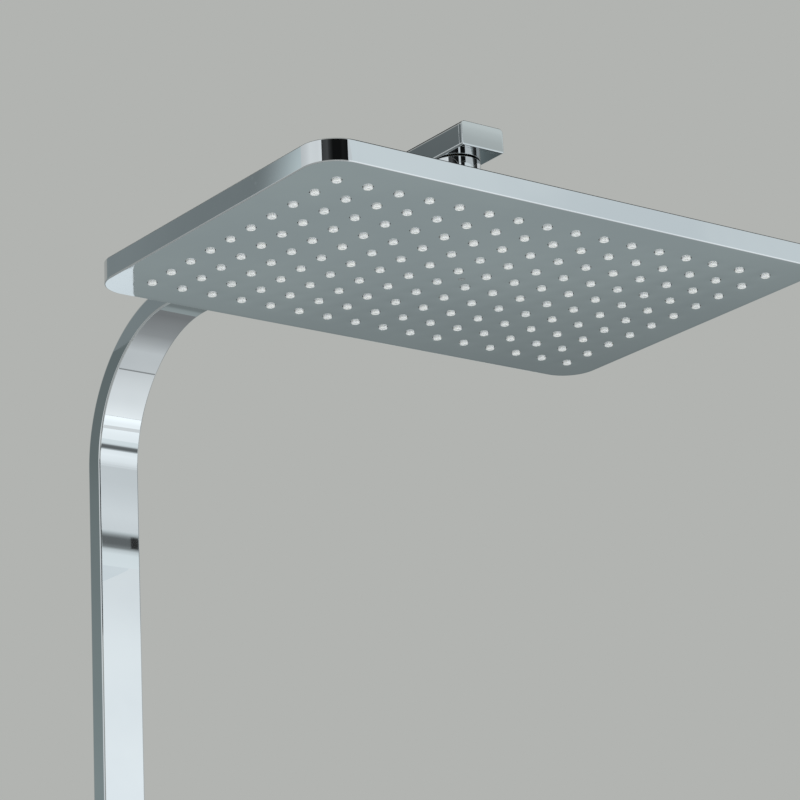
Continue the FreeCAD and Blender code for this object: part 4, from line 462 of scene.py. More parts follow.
class Effects:
    """The node groups that the finishes share."""

    def __init__(self) -> None:
        """Builds every group once."""
        self.drift = self.tone_drift()
        self.handling = self.handling_marks()
        self.relief = self.fine_relief()
        self.lines = self.tool_lines()

    @staticmethod
    def tone_drift() -> bpy.types.NodeTree:
        """Colour that drifts between two tones in soft patches.

        Returns:
            Group with a Color output.
        """
        tree = Effect(
            "Tone drift",
            {
                "Vector": ("NodeSocketVector", 0.0), "Base": ("NodeSocketColor", 0.0),
                "Second": ("NodeSocketColor", 0.0), "Scale": ("NodeSocketFloat", 20.0),
            },
            {"Color": "NodeSocketColor"},
        ).open_group()
        enter, leave = add(tree, "NodeGroupInput"), add(tree, "NodeGroupOutput")
        noise = add(tree, "ShaderNodeTexNoise", in_Detail=4.0, in_Roughness=0.55)
        mix = add(tree, "ShaderNodeMix", data_type="RGBA")
        tree.links.new(enter.outputs["Vector"], noise.inputs["Vector"])
        tree.links.new(enter.outputs["Scale"], noise.inputs["Scale"])
        share = spread(tree, noise.outputs["Fac"], 0.38, 0.66)
        tree.links.new(share, mix.inputs["Factor"])
        tree.links.new(enter.outputs["Base"], mix.inputs["A"])
        tree.links.new(enter.outputs["Second"], mix.inputs["B"])
        tree.links.new(mix.outputs["Result"], leave.inputs["Color"])
        return tree

    @staticmethod
    def handling_marks() -> bpy.types.NodeTree:
        """Roughness with wiped smears and dried water spots.

        Returns:
            Group with a Roughness output.
        """
        tree = Effect(
            "Handling marks",
            {
                "Vector": ("NodeSocketVector", 0.0), "Low": ("NodeSocketFloat", 0.04),
                "High": ("NodeSocketFloat", 0.1), "Scale": ("NodeSocketFloat", 25.0),
                "Spots": ("NodeSocketFloat", 0.05),
            },
            {"Roughness": "NodeSocketFloat"},
        ).open_group()
        enter, leave = add(tree, "NodeGroupInput"), add(tree, "NodeGroupOutput")
        smear = add(tree, "ShaderNodeTexNoise", in_Detail=5.0, in_Distortion=0.6)
        tree.links.new(enter.outputs["Vector"], smear.inputs["Vector"])
        tree.links.new(enter.outputs["Scale"], smear.inputs["Scale"])
        base = spread(
            tree, smear.outputs["Fac"], 0.4, 0.7, enter.outputs["Low"], enter.outputs["High"]
        )
        size = math_node(tree, "MULTIPLY", enter.outputs["Scale"], 9.0)
        drops = add(tree, "ShaderNodeTexVoronoi", in_Randomness=1.0)
        tree.links.new(enter.outputs["Vector"], drops.inputs["Vector"])
        tree.links.new(size, drops.inputs["Scale"])
        ring = spread(tree, drops.outputs["Distance"], 0.16, 0.1)
        few = spread(tree, smear.outputs["Fac"], 0.5, 0.62)
        mark = math_node(tree, "MULTIPLY", math_node(tree, "MULTIPLY", ring, few),
                         enter.outputs["Spots"])
        total = math_node(tree, "ADD", base, mark, clamp=True)
        tree.links.new(total, leave.inputs["Roughness"])
        return tree

    @staticmethod
    def fine_relief() -> bpy.types.NodeTree:
        """Height of a moulded or plated surface: slow waves under a fine grain.

        Returns:
            Group with a Height output.
        """
        tree = Effect(
            "Fine relief",
            {
                "Vector": ("NodeSocketVector", 0.0), "Wave": ("NodeSocketFloat", 12.0),
                "Grain": ("NodeSocketFloat", 900.0), "Grain share": ("NodeSocketFloat", 0.2),
            },
            {"Height": "NodeSocketFloat"},
        ).open_group()
        enter, leave = add(tree, "NodeGroupInput"), add(tree, "NodeGroupOutput")
        slow = add(tree, "ShaderNodeTexNoise", in_Detail=1.0)
        fine = add(tree, "ShaderNodeTexNoise", in_Detail=3.0)
        for noise, scale in ((slow, "Wave"), (fine, "Grain")):
            tree.links.new(enter.outputs["Vector"], noise.inputs["Vector"])
            tree.links.new(enter.outputs[scale], noise.inputs["Scale"])
        grain = math_node(tree, "MULTIPLY", fine.outputs["Fac"], enter.outputs["Grain share"])
        total = math_node(tree, "ADD", slow.outputs["Fac"], grain)
        tree.links.new(total, leave.inputs["Height"])
        return tree

    @staticmethod
    def tool_lines() -> bpy.types.NodeTree:
        """Height of the fine lines that a lathe tool or a brush leaves.

        Returns:
            Group with a Height output.
        """
        tree = Effect(
            "Tool lines",
            {
                "Vector": ("NodeSocketVector", 0.0), "Across": ("NodeSocketFloat", 2500.0),
                "Along": ("NodeSocketFloat", 40.0),
            },
            {"Height": "NodeSocketFloat"},
        ).open_group()
        enter, leave = add(tree, "NodeGroupInput"), add(tree, "NodeGroupOutput")
        stretch = add(tree, "ShaderNodeCombineXYZ")
        for axis, scale in (("X", "Along"), ("Y", "Along"), ("Z", "Across")):
            tree.links.new(enter.outputs[scale], stretch.inputs[axis])
        pull = add(tree, "ShaderNodeVectorMath", operation="MULTIPLY")
        tree.links.new(enter.outputs["Vector"], pull.inputs[0])
        tree.links.new(stretch.outputs[0], pull.inputs[1])
        noise = add(tree, "ShaderNodeTexNoise", in_Scale=1.0, in_Detail=4.0, in_Roughness=0.6)
        tree.links.new(pull.outputs[0], noise.inputs["Vector"])
        tree.links.new(noise.outputs["Fac"], leave.inputs["Height"])
        return tree


class Grain(Enum):
    """Which relief a finish has."""

    RELIEF = "slow waves and grain"
    LINES = "tool lines"


@dataclass(frozen=True)
class Finish:
    """One finish of the part.

    Attributes:
        slot: The material slot it stands for.
        base: Main colour, linear.
        second: Colour that it drifts to.
        metallic: 1 for metal.
        low: Lowest roughness.
        high: Highest roughness.
        drift: Patches of colour per metre.
        smear: Smears per metre.
        spots: Roughness that dried drops add.
        grain: Kind of relief.
        relief: Height of the relief, in metres.
        wave: Slow waves per metre.
        fine: Fine grains per metre.
        fine_share: Share of the fine grain in the relief.
        subsurface: Light that goes through the skin of the material.
        coat: Clear layer on top.
    """

    slot: str
    base: tuple[float, float, float]
    second: tuple[float, float, float]
    metallic: float = 0.0
    low: float = 0.3
    high: float = 0.5
    drift: float = 20.0
    smear: float = 25.0
    spots: float = 0.0
    grain: Grain = Grain.RELIEF
    relief: float = 0.00002
    wave: float = 60.0
    fine: float = 1500.0
    fine_share: float = 0.3
    subsurface: float = 0.0
    coat: float = 0.0

    def build(self, effects: Effects) -> bpy.types.Material:
        """Makes the material.

        Args:
            effects: The shared node groups.

        Returns:
            The material, named after the slot.
        """
        material = bpy.data.materials.new(self.slot + "_finish")
        material.use_nodes = True
        tree = material.node_tree
        shader = tree.nodes["Principled BSDF"]
        place = add(tree, "ShaderNodeTexCoord").outputs["Object"]
        shader.inputs["Metallic"].default_value = self.metallic
        if self.subsurface:
            shader.inputs["Subsurface Weight"].default_value = self.subsurface
            shader.inputs["Subsurface Radius"].default_value = (0.004, 0.004, 0.0045)
            shader.inputs["Subsurface Scale"].default_value = 1.0
        if self.coat:
            shader.inputs["Coat Weight"].default_value = self.coat
            shader.inputs["Coat Roughness"].default_value = 0.05
        drift = add(tree, "ShaderNodeGroup", node_tree=effects.drift)
        drift.inputs["Base"].default_value = (*self.base, 1.0)
        drift.inputs["Second"].default_value = (*self.second, 1.0)
        drift.inputs["Scale"].default_value = self.drift
        marks = add(tree, "ShaderNodeGroup", node_tree=effects.handling)
        for name, value in (
            ("Low", self.low), ("High", self.high), ("Scale", self.smear), ("Spots", self.spots)
        ):
            marks.inputs[name].default_value = value
        bump = add(tree, "ShaderNodeBump", in_Distance=self.relief, in_Strength=1.0)
        if self.grain is Grain.LINES:
            form = add(tree, "ShaderNodeGroup", node_tree=effects.lines)
            form.inputs["Across"].default_value = self.fine
            form.inputs["Along"].default_value = self.wave
        else:
            form = add(tree, "ShaderNodeGroup", node_tree=effects.relief)
            form.inputs["Wave"].default_value = self.wave
            form.inputs["Grain"].default_value = self.fine
            form.inputs["Grain share"].default_value = self.fine_share
        for group in (drift, marks, form):
            tree.links.new(place, group.inputs["Vector"])
        tree.links.new(drift.outputs["Color"], shader.inputs["Base Color"])
        tree.links.new(marks.outputs["Roughness"], shader.inputs["Roughness"])
        tree.links.new(form.outputs["Height"], bump.inputs["Height"])
        tree.links.new(bump.outputs["Normal"], shader.inputs["Normal"])
        return material


class Workshop:
    """Holds the finishes and puts them on pieces and nodes."""

    FINISHES = (
        Finish("polished_chrome", (0.64, 0.665, 0.675), (0.60, 0.625, 0.64), metallic=1.0,
               low=0.012, high=0.04, drift=9.0, smear=14.0, spots=0.03,
               relief=0.000006, wave=28.0, fine=600.0, fine_share=0.02),
        Finish("chromed_plastic", (0.63, 0.65, 0.66), (0.59, 0.61, 0.62), metallic=1.0,
               low=0.05, high=0.11, drift=14.0, smear=30.0, spots=0.04,
               relief=0.00001, wave=70.0, fine=900.0, fine_share=0.03),
        Finish("steel", (0.56, 0.56, 0.55), (0.47, 0.47, 0.46), metallic=1.0, low=0.2,
               high=0.34, smear=180.0, grain=Grain.LINES, relief=0.00002, wave=60.0, fine=4000.0),
        Finish("bare_brass", (0.78, 0.58, 0.27), (0.66, 0.46, 0.2), metallic=1.0, low=0.2,
               high=0.36, drift=70.0, smear=90.0, grain=Grain.LINES, relief=0.00002,
               wave=50.0, fine=3500.0),
        Finish("copper", (0.75, 0.42, 0.27), (0.6, 0.3, 0.19), metallic=1.0, low=0.22,
               high=0.4, drift=90.0, smear=120.0, grain=Grain.LINES, relief=0.00002),
        Finish("silicone", (0.86, 0.88, 0.88), (0.80, 0.83, 0.84), low=0.26, high=0.4,
               drift=60.0, smear=300.0, relief=0.000008, fine=2500.0, subsurface=0.35),
        Finish("black_rubber", (0.028, 0.028, 0.029), (0.045, 0.045, 0.045), low=0.5,
               high=0.7, drift=90.0, smear=200.0, relief=0.00005, fine=3000.0),
        Finish("grey_plastic", (0.34, 0.35, 0.36), (0.29, 0.30, 0.31), low=0.38, high=0.52,
               drift=50.0, smear=140.0, relief=0.00004, fine=2600.0, fine_share=0.8),
        Finish("white_plastic", (0.80, 0.80, 0.78), (0.73, 0.73, 0.70), low=0.34, high=0.48,
               drift=60.0, smear=160.0, relief=0.00003, fine=2600.0, fine_share=0.8),
        Finish("red_plastic", (0.50, 0.025, 0.022), (0.40, 0.018, 0.016), low=0.12, high=0.22,
               drift=90.0, smear=220.0, relief=0.00001, coat=0.4),
        Finish("ceramic", (0.86, 0.85, 0.81), (0.80, 0.79, 0.75), low=0.08, high=0.16,
               drift=120.0, smear=200.0, relief=0.000005, coat=0.3),
    )

    def __init__(self) -> None:
        """Builds each finish once."""
        effects = Effects()
        self.materials = {f.slot: f.build(effects) for f in self.FINISHES}

    def dress_nodes(self, nodes: dict[str, bpy.types.Object], parts: list[dict]) -> None:
        """Gives each node the finish of its slot.

        Args:
            nodes: Node name to object.
            parts: The record's list of nodes with their slots.
        """
        for part in parts:
            node = nodes[part["node"]]
            node.data.materials.clear()
            node.data.materials.append(self.materials[part["material_slot"]])

    def fit(self, piece: bpy.types.Object, slot: str, body: str, node: str) -> None:
        """Dresses a new piece and puts it in the place of its node.

        Args:
            piece: The piece's object.
            slot: Its material slot.
            body: Body that it rides on.
            node: Node that it stands for.
        """
        piece.data.materials.append(self.materials[slot])
        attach(piece, body)
        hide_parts(node)
        LOG.info("%s: %d faces, on %s", piece.name, len(piece.data.polygons), body)


# Sub-assemblies


@dataclass
class RainHead:
    """Spray head: chromed tray with its nozzles, the centre screw and the cover.

    Attributes:
        centre: Middle of the nozzle field at the tips' height.
        length: Size along X.
        width: Size along Y.
        corner: Radius of the head's corners.
        pitch: Distance between nozzles.
        columns: Nozzles along X.
        rows: Nozzles along Y.
        reach: How far the tips stand out of the face.
        face: Thickness of the face.
        rim: Height of the rim from the face.
        wall: Thickness of the rim.
        ledge: Thickness of the rim beside the cover.
        cover: Thickness of the cover.
        edge: Rounding of the rim's edges.
        hole: Radius of a hole in the face.
        hole_edge: Rounding of a hole's lip.
        boss: Height of the cone on the cover.
        head_radius: Radius of the centre screw's head.
        recess: Depth of the screw's cross recess.
        recess_reach: Radius that the cross reaches to.
        recess_half: Half the width of the cross's arms.
    """

    centre: tuple[float, float, float] = (0.0, -445.0, 959.0)
    length: float = 350.0
    width: float = 230.0
    corner: float = 20.0
    pitch: float = 20.0
    columns: int = 16
    rows: int = 10
    reach: float = 1.2
    face: float = 1.6
    rim: float = 12.8
    wall: float = 2.4
    ledge: float = 1.2
    cover: float = 1.6
    edge: float = 0.7
    hole: float = 2.95
    hole_edge: float = 0.3
    boss: float = 6.0
    head_radius: float = 2.8
    recess: float = 0.9
    recess_reach: float = 1.75
    recess_half: float = 0.46

    def grid(self) -> np.ndarray:
        """Centres of the nozzles.

        Returns:
            Array (160, 2) of X and Y, (column - 7.5) pitch and (row - 4.5) pitch.
        """
        x = (np.arange(self.columns) - (self.columns - 1) / 2) * self.pitch
        y = (np.arange(self.rows) - (self.rows - 1) / 2) * self.pitch
        return np.stack(np.meshgrid(x, y, indexing="ij"), axis=-1).reshape(-1, 2)

    def cells(self) -> list[Skin]:
        """The square of face round each hole, with the hole's lip and wall.

        On a ray at the angle t the square's edge is at h / max(|cos t|, |sin t|) and the
        hole's at its radius; the wall then goes up through the face.

        Returns:
            One skin for each nozzle.
        """
        angle = np.linspace(0.0, 2 * np.pi, 16, endpoint=False)
        ray = np.stack([np.cos(angle), np.sin(angle)], axis=-1)
        square = ray * (self.pitch / 2 / np.abs(ray).max(axis=1))[:, None]
        low, high, lip = self.reach, self.reach + self.face, self.hole_edge
        steps = (
            (square, low),
            (ray * (self.hole + lip), low),
            (ray * (self.hole + lip * 0.3), low + lip * 0.3),
            (ray * self.hole, low + lip),
            (ray * self.hole, high),
            (square, high),
        )
        cell = np.stack(
            [np.hstack([flat, np.full((len(flat), 1), z)]) for flat, z in steps]
        )
        spots = np.pad(self.grid(), ((0, 0), (0, 1)))
        return [Skin(cell + spot + self.centre) for spot in spots]

    def border(self) -> Skin:
        """The face's border, the rim's outside, its top and its inside.

        A profile of inset and height is carried round the head's outline; its two ends lie
        on the rectangle of the nozzle field, under and over the face.

        Returns:
            One skin round the head.
        """
        half = np.array([self.columns, self.rows]) * self.pitch / 2
        part = np.tan(np.pi / 8) / 2
        marks = [
            (np.arange(n)[:, None] + np.array([0.0, 0.5 - part, 0.5, 0.5 + part])).ravel()
            * self.pitch - n * self.pitch / 2
            for n in (self.columns, self.rows)
        ]
        reach = np.array([self.length, self.width]) / 2 - self.corner
        side_x, side_y = (m[np.abs(m) < r] for m, r in zip(marks, reach))
        plan = Plan(self.length, self.width, self.corner, 20, side_x, side_y)
        low, high, top = self.reach, self.reach + self.face, self.reach + self.rim
        seat = top - self.cover
        corners = [
            (self.wall + 2, low), (0.0, low), (0.0, top), (self.ledge, top),
            (self.ledge, seat), (self.wall, seat), (self.wall, high), (self.wall + 2, high),
        ]
        radii = [0, self.edge, self.edge, 0.25, 0.15, 0.3, 0.5, 0]
        wrap = plan.carry(rounded_path(corners, radii, 7, closed=False))
        spots = plan.line()[0]
        field_line = np.clip(spots, -half, half)
        arc = (np.abs(spots) > reach).all(axis=1)
        field_line[arc] = np.sign(spots[arc]) * half
        ends = [
            np.hstack([field_line, np.full((len(field_line), 1), z)])[None] for z in (low, high)
        ]
        return Skin(np.concatenate([ends[0], wrap, ends[1]]) + self.centre)

    def tips(self) -> list[Skin]:
        """The mat's nozzles: bore, blunt rounded tip and tapered side.

        Returns:
            One turned skin for each nozzle.
        """
        low, root = 0.0, self.reach + self.face
        outline = np.array([
            (0.7, root + 1.0), (0.7, low + 0.35), (1.05, low + 0.06), (1.9, low),
            (2.35, low + 0.14), (2.52, low + 0.5), (2.75, root + 0.1),
        ])
        angle = np.linspace(0.0, 2 * np.pi, 12, endpoint=False)
        r, z = outline[:, :1], outline[:, 1:]
        tip = np.stack([r * np.cos(angle), r * np.sin(angle), z + 0 * angle], axis=-1)
        return [Skin(tip + np.array((x, y, 0.0)) + self.centre) for x, y in self.grid()]

    def screw(self) -> Skin:
        """The centre screw's head with its cross recess.

        The head is a disc whose face sinks by the recess inside the cross |x| < w or
        |y| < w, up to the arms' reach, with soft sides. The face is crowned by 0.22 (r / R)
        squared, and a cone of 0.62 R closes the head behind.

        Returns:
            A skin of rings about the screw's axis.
        """
        crown, stand, soft_side, soft_end = 0.22, 0.12, 0.14, 0.3
        radius = np.array(
            [0.0, 0.25, 0.45, 0.7, 1.0, 1.3, 1.6, 1.85, 2.1, 2.45, 2.7, self.head_radius]
        )[:, None]
        angle = np.linspace(0.0, 2 * np.pi, 96, endpoint=False)
        x, y = radius * np.cos(angle), radius * np.sin(angle)
        arm = np.minimum(np.abs(x), np.abs(y))
        cross = np.clip((self.recess_half - arm) / soft_side, 0, 1)
        cross = cross * np.clip((self.recess_reach - radius) / soft_end, 0, 1)
        dome = crown * (radius / self.head_radius) ** 2 + 0.15 * np.clip(radius - 2.6, 0, 1)
        face = np.stack([x, y, self.reach - stand + dome + self.recess * cross], axis=-1)
        back = np.full_like(x[-1], self.reach + 1.55)
        side = np.stack([x[-1] * 0.62, y[-1] * 0.62, back], axis=-1)[None]
        points = np.concatenate([face, side])[::-1]
        return Skin(points + self.centre, True, (True, False))

    def lid(self) -> Skin:
        """The cover: flat plate in the rim and the cone up to the ball joint.

        The rows start with a ring under the plate, follow the plate's edge round the plan,
        and end with the rings of the cone, each at the directions of the plan's points.

        Returns:
            One skin, open at the ball joint.
        """
        top = self.reach + self.rim
        step = self.wall - self.ledge + 0.1
        plan = Plan(self.length - step * 2, self.width - step * 2, self.corner - step, 20)
        low = top - self.cover
        spots = plan.line()[0]
        angle = np.arctan2(spots[:, 1], spots[:, 0])
        ring = np.stack([np.cos(angle), np.sin(angle)], axis=-1)
        rows = [np.hstack([ring * 40, np.full((len(ring), 1), low)])]
        edge = rounded_path([(3.0, low), (0.0, low), (0.0, top), (3.0, top)], 0.3, 6, False)
        rows += list(plan.carry(edge))
        crest = top + self.boss
        cone = rounded_path(
            [(50.0, top), (45.0, top), (24.0, crest), (10.78, crest), (10.78, crest - self.cover)],
            [0, 12.0, 2.5, 0.3, 0], 10, False,
        )
        rows += [np.hstack([ring * r, np.full((len(ring), 1), z)]) for r, z in cone]
        return Skin(np.stack(rows) + self.centre)

    def build(self, shop: Workshop) -> None:
        """Builds and fits the head's pieces.

        Args:
            shop: Workshop with the finishes.
        """
        tray = Piece("tray", self.cells() + [self.border()]).build()
        shop.fit(tray, "polished_chrome", "rain_head", "head_face")
        nozzles = Piece("nozzles", self.tips()).build()
        shop.fit(nozzles, "silicone", "rain_head", "nozzle_mat")
        screw = Piece("face_screw", [self.screw()]).build()
        shop.fit(screw, "steel", "rain_head", "centre_screw")
        cover = Piece("top_cover", [self.lid()]).build()
        shop.fit(cover, "polished_chrome", "rain_head", "head_cover")


@dataclass
class SwivelJoint:
    """Ball joint between the arm and the head.

    Attributes:
        place: Axis of the joint, at the height of the part's origin.
        ball: Height of the ball's centre.
        nut_radius: Radius of the nut.
        nut_heights: Heights of the nut's lower and upper end.
        seat: Heights of the socket's root, of its flange's underside and of its upper side.
        cup: Heights of the cup's edge, of the end of its wall and of its bottom.
    """

    place: tuple[float, float, float] = (0.0, -445.0, 0.0)
    ball: float = 996.5
    nut_radius: float = 14.4
    nut_heights: tuple[float, float] = (1010.0, 1030.0)
    seat: tuple[float, float, float] = (971.0, 979.0, 982.0)
    cup: tuple[float, float, float] = (996.4, 990.0, 984.0)

    def nut(self) -> Skin:
        """The round nut under the arm, with narrow rounded edges.

        Returns:
            Turned skin.
        """
        low, high = self.nut_heights
        radius = self.nut_radius
        outline = rounded_path(
            [(8.0, low), (radius, low), (radius, high), (8.0, high)], [0.1, 0.6, 0.45, 0.1], 7
        )
        return turned(outline, 128).placed(Facing.UP, self.place)

    def cap(self) -> Skin:
        """The ring nut over the ball, with its shoulder.

        Returns:
            Turned skin.
        """
        b = self.ball
        outline = rounded_path(
            [(15.05, b - 9.5), (17.5, b - 9.5), (17.5, b + 6), (14.0, b + 9), (8.85, b + 9),
             (7.45, b + 7.6), (12.0, b + 2)],
            [0.1, 0.4, 0.9, 0.6, 0.3, 0.2, 0.2], 6,
        )
        return turned(outline, 128).placed(Facing.UP, self.place)

    def socket(self) -> Skin:
        """The socket's flange on the cover and its cup.

        Returns:
            Turned skin.
        """
        root, low, high = self.seat
        mouth, knee, bottom = self.cup
        outline = rounded_path(
            [(10.4, root), (10.4, low), (21.0, low), (21.0, high), (15.0, high),
             (15.0, mouth), (12.2, mouth), (12.2, knee), (6.0, bottom), (6.0, root)],
            [0.2, 0.1, 0.5, 0.8, 0.8, 0.2, 0.1, 0.5, 0.5, 0.2], 6,
        )
        return turned(outline, 128).placed(Facing.UP, self.place)

    def build(self, shop: Workshop) -> None:
        """Builds and fits the joint's pieces.

        Args:
            shop: Workshop with the finishes.
        """
        made = (
            ("arm_nut", self.nut(), "wall_set", "swivel_nut"),
            ("joint_cap", self.cap(), "rain_head", "ball_cap"),
            ("joint_socket", self.socket(), "rain_head", "ball_socket"),
        )
        for name, skin, body, node in made:
            shop.fit(Piece(name, [skin]).build(), "polished_chrome", body, node)


@dataclass
class Riser:
    """The bent flat tube and the plug in its end.

    Attributes:
        width: Size of the tube across.
        depth: Size of the tube front to back.
        edges: Radii of its corners, on the bend's inner side and then on its outer side.
        axis_y: Middle of the upright part.
        foot: Height of the tube's lower end.
        bend: Centre of the bend, Y and Z.
        inner: Inner radius of the bend.
        end: Where the tube ends under the plug's plate.
        plate: Thickness of that plate.
    """

    width: float = 30.0
    depth: float = 15.0
    edges: tuple[float, float] = (1.2, 2.6)
    axis_y: float = -65.0
    foot: float = 28.0
    bend: tuple[float, float] = (-157.5, 945.5)
    inner: float = 85.0
    end: float = -468.5
    plate: float = 2.5

    def section(self) -> np.ndarray:
        """Outline of the tube.

        Returns:
            Array of points of a rounded rectangle.
        """
        x, y = self.width / 2, self.depth / 2
        inner, outer = self.edges
        return rounded_path(
            [(-x, -y), (x, -y), (x, y), (-x, y)], [inner, inner, outer, outer], 8
        )

    def tube(self) -> Skin:
        """The tube: up, round the bend and out along the arm.

        On the bend the middle line is B + R (cos t, sin t) with t from 0 to 90 degrees,
        and the section's second axis points away from the bend's centre.

        Returns:
            The tube's skin.
        """
        turn = np.linspace(0.0, np.pi / 2, 65)
        middle = self.inner + self.depth / 2
        y = self.bend[0] + middle * np.cos(turn)
        z = self.bend[1] + middle * np.sin(turn)
        upright = np.append(self.foot, np.linspace(self.foot + 0.2, self.bend[1], 9)[:-1])
        level = np.append(np.linspace(self.bend[0], self.end + 0.2, 7)[1:], self.end)
        ys = np.concatenate([np.full_like(upright, self.axis_y), y, level])
        zs = np.concatenate([upright, z, np.full_like(level, z[-1])])
        way = np.concatenate([np.zeros_like(upright), turn, np.full_like(level, np.pi / 2)])
        centres = np.stack([np.zeros_like(ys), ys, zs], axis=-1)
        normals = np.stack([np.zeros_like(ys), np.cos(way), np.sin(way)], axis=-1)
        return carried(self.section(), centres, normals)

    def plug(self) -> Skin:
        """The plate that closes the arm, its front edge rounded.

        The plate's section shrinks over the rounding: the inset is e (1 - cos u) while the
        depth left is e (1 - sin u), with u from 0 to 90 degrees.

        Returns:
            A closed skin.
        """
        height = self.bend[1] + self.inner + self.depth / 2
        inner, outer = self.edges
        plan = Plan(self.width, self.depth, (inner, outer, outer, inner), 10)
        edge = rounded_path([(1.1, 0.0), (0.0, 0.0), (0.0, self.plate), (1.1, self.plate)],
                            [0, 0.12, 0.35, 0], 7, False)
        skin = Skin(plan.carry(edge), True, (True, True))
        return skin.placed(Facing.FRONT, (0.0, self.end, height))

    def build(self, shop: Workshop) -> None:
        """Builds and fits the tube and its plug.

        Args:
            shop: Workshop with the finishes.
        """
        tube = Piece("bent_tube", [self.tube()]).build()
        shop.fit(tube, "polished_chrome", "wall_set", "riser_arm")
        plug = Piece("end_plug", [self.plug()]).build()
        shop.fit(plug, "polished_chrome", "wall_set", "arm_end_cap")


@dataclass
class Threads:
    """Shared sizes of the pipe threads that show.

    Attributes:
        pitch: Pitch of the half-inch and three-quarter-inch pipe threads.
        depth: Depth of the groove.
        half_inch: Radius of the half-inch thread's crests.
        three_quarter: Radius of the three-quarter-inch thread's crests.
    """

    pitch: float = 1.814
    depth: float = 0.9
    half_inch: float = 10.48
    three_quarter: float = 13.22

    def wall(self, radius: float, low: float, high: float) -> np.ndarray:
        """Straight wall with enough rows for a thread.

        Args:
            radius: Radius of the crests.
            low: Height of the lower end.
            high: Height of the upper end.

        Returns:
            Array (n, 2) of radius and height, eight rows for each turn.
        """
        rows_per_turn = 8
        rows = int((high - low) / self.pitch * rows_per_turn) + 2
        return np.column_stack([np.full(rows, radius), np.linspace(low, high, rows)])

    def cut(self, outline: np.ndarray, low: float, high: float) -> Skin:
        """Turns an outline and cuts the thread in its outer wall.

        Args:
            outline: Array (n, 2) of radius and height.
            low: Height where the thread starts.
            high: Height where it ends.

        Returns:
            The threaded skin about its own Z axis.
        """
        return threaded(turned(outline, 64), low, high, self.pitch, self.depth)


@dataclass
class HoseOutlet:
    """Threaded outlet under the valve.

    Attributes:
        place: Axis of the outlet.
        bore: Radius of the waterway.
        end: Height of the lower end.
        flange: Radius of the flange.
        flange_heights: Heights of the flange's lower and upper side.
        root: Radius and upper end of the part inside the valve.
        thread: Thread that the hose screws on.
    """

    place: tuple[float, float, float] = (0.0, -65.0, 0.0)
    bore: float = 5.0
    end: float = -44.0
    flange: float = 12.5
    flange_heights: tuple[float, float] = (-32.5, -30.0)
    root: tuple[float, float] = (9.9, -22.0)
    thread: Threads = field(default_factory=Threads)

    def spout(self) -> Skin:
        """Flange against the valve, the thread below it and the bore.

        Returns:
            Turned skin with its thread.
        """
        crest = self.thread.half_inch
        low, high = self.flange_heights
        root, top = self.root
        start = self.end + 0.7
        outline = np.vstack([
            [(self.bore, self.end), (9.7, self.end)],
            self.thread.wall(crest, start, low - 0.5),
            [(crest, low)],
            rounded_path([(10.5, low), (self.flange, low), (self.flange, high), (root, high)],
                         [0.05, 0.5, 0.2, 0.05], 6),
            [(root, top), (self.bore, top)],
        ])
        return self.thread.cut(outline, start, low - 0.7).placed(Facing.UP, self.place)

    def build(self, shop: Workshop) -> None:
        """Builds and fits the outlet.

        Args:
            shop: Workshop with the finishes.
        """
        piece = Piece("hose_connector", [self.spout()]).build()
        shop.fit(piece, "polished_chrome", "wall_set", "hose_outlet")


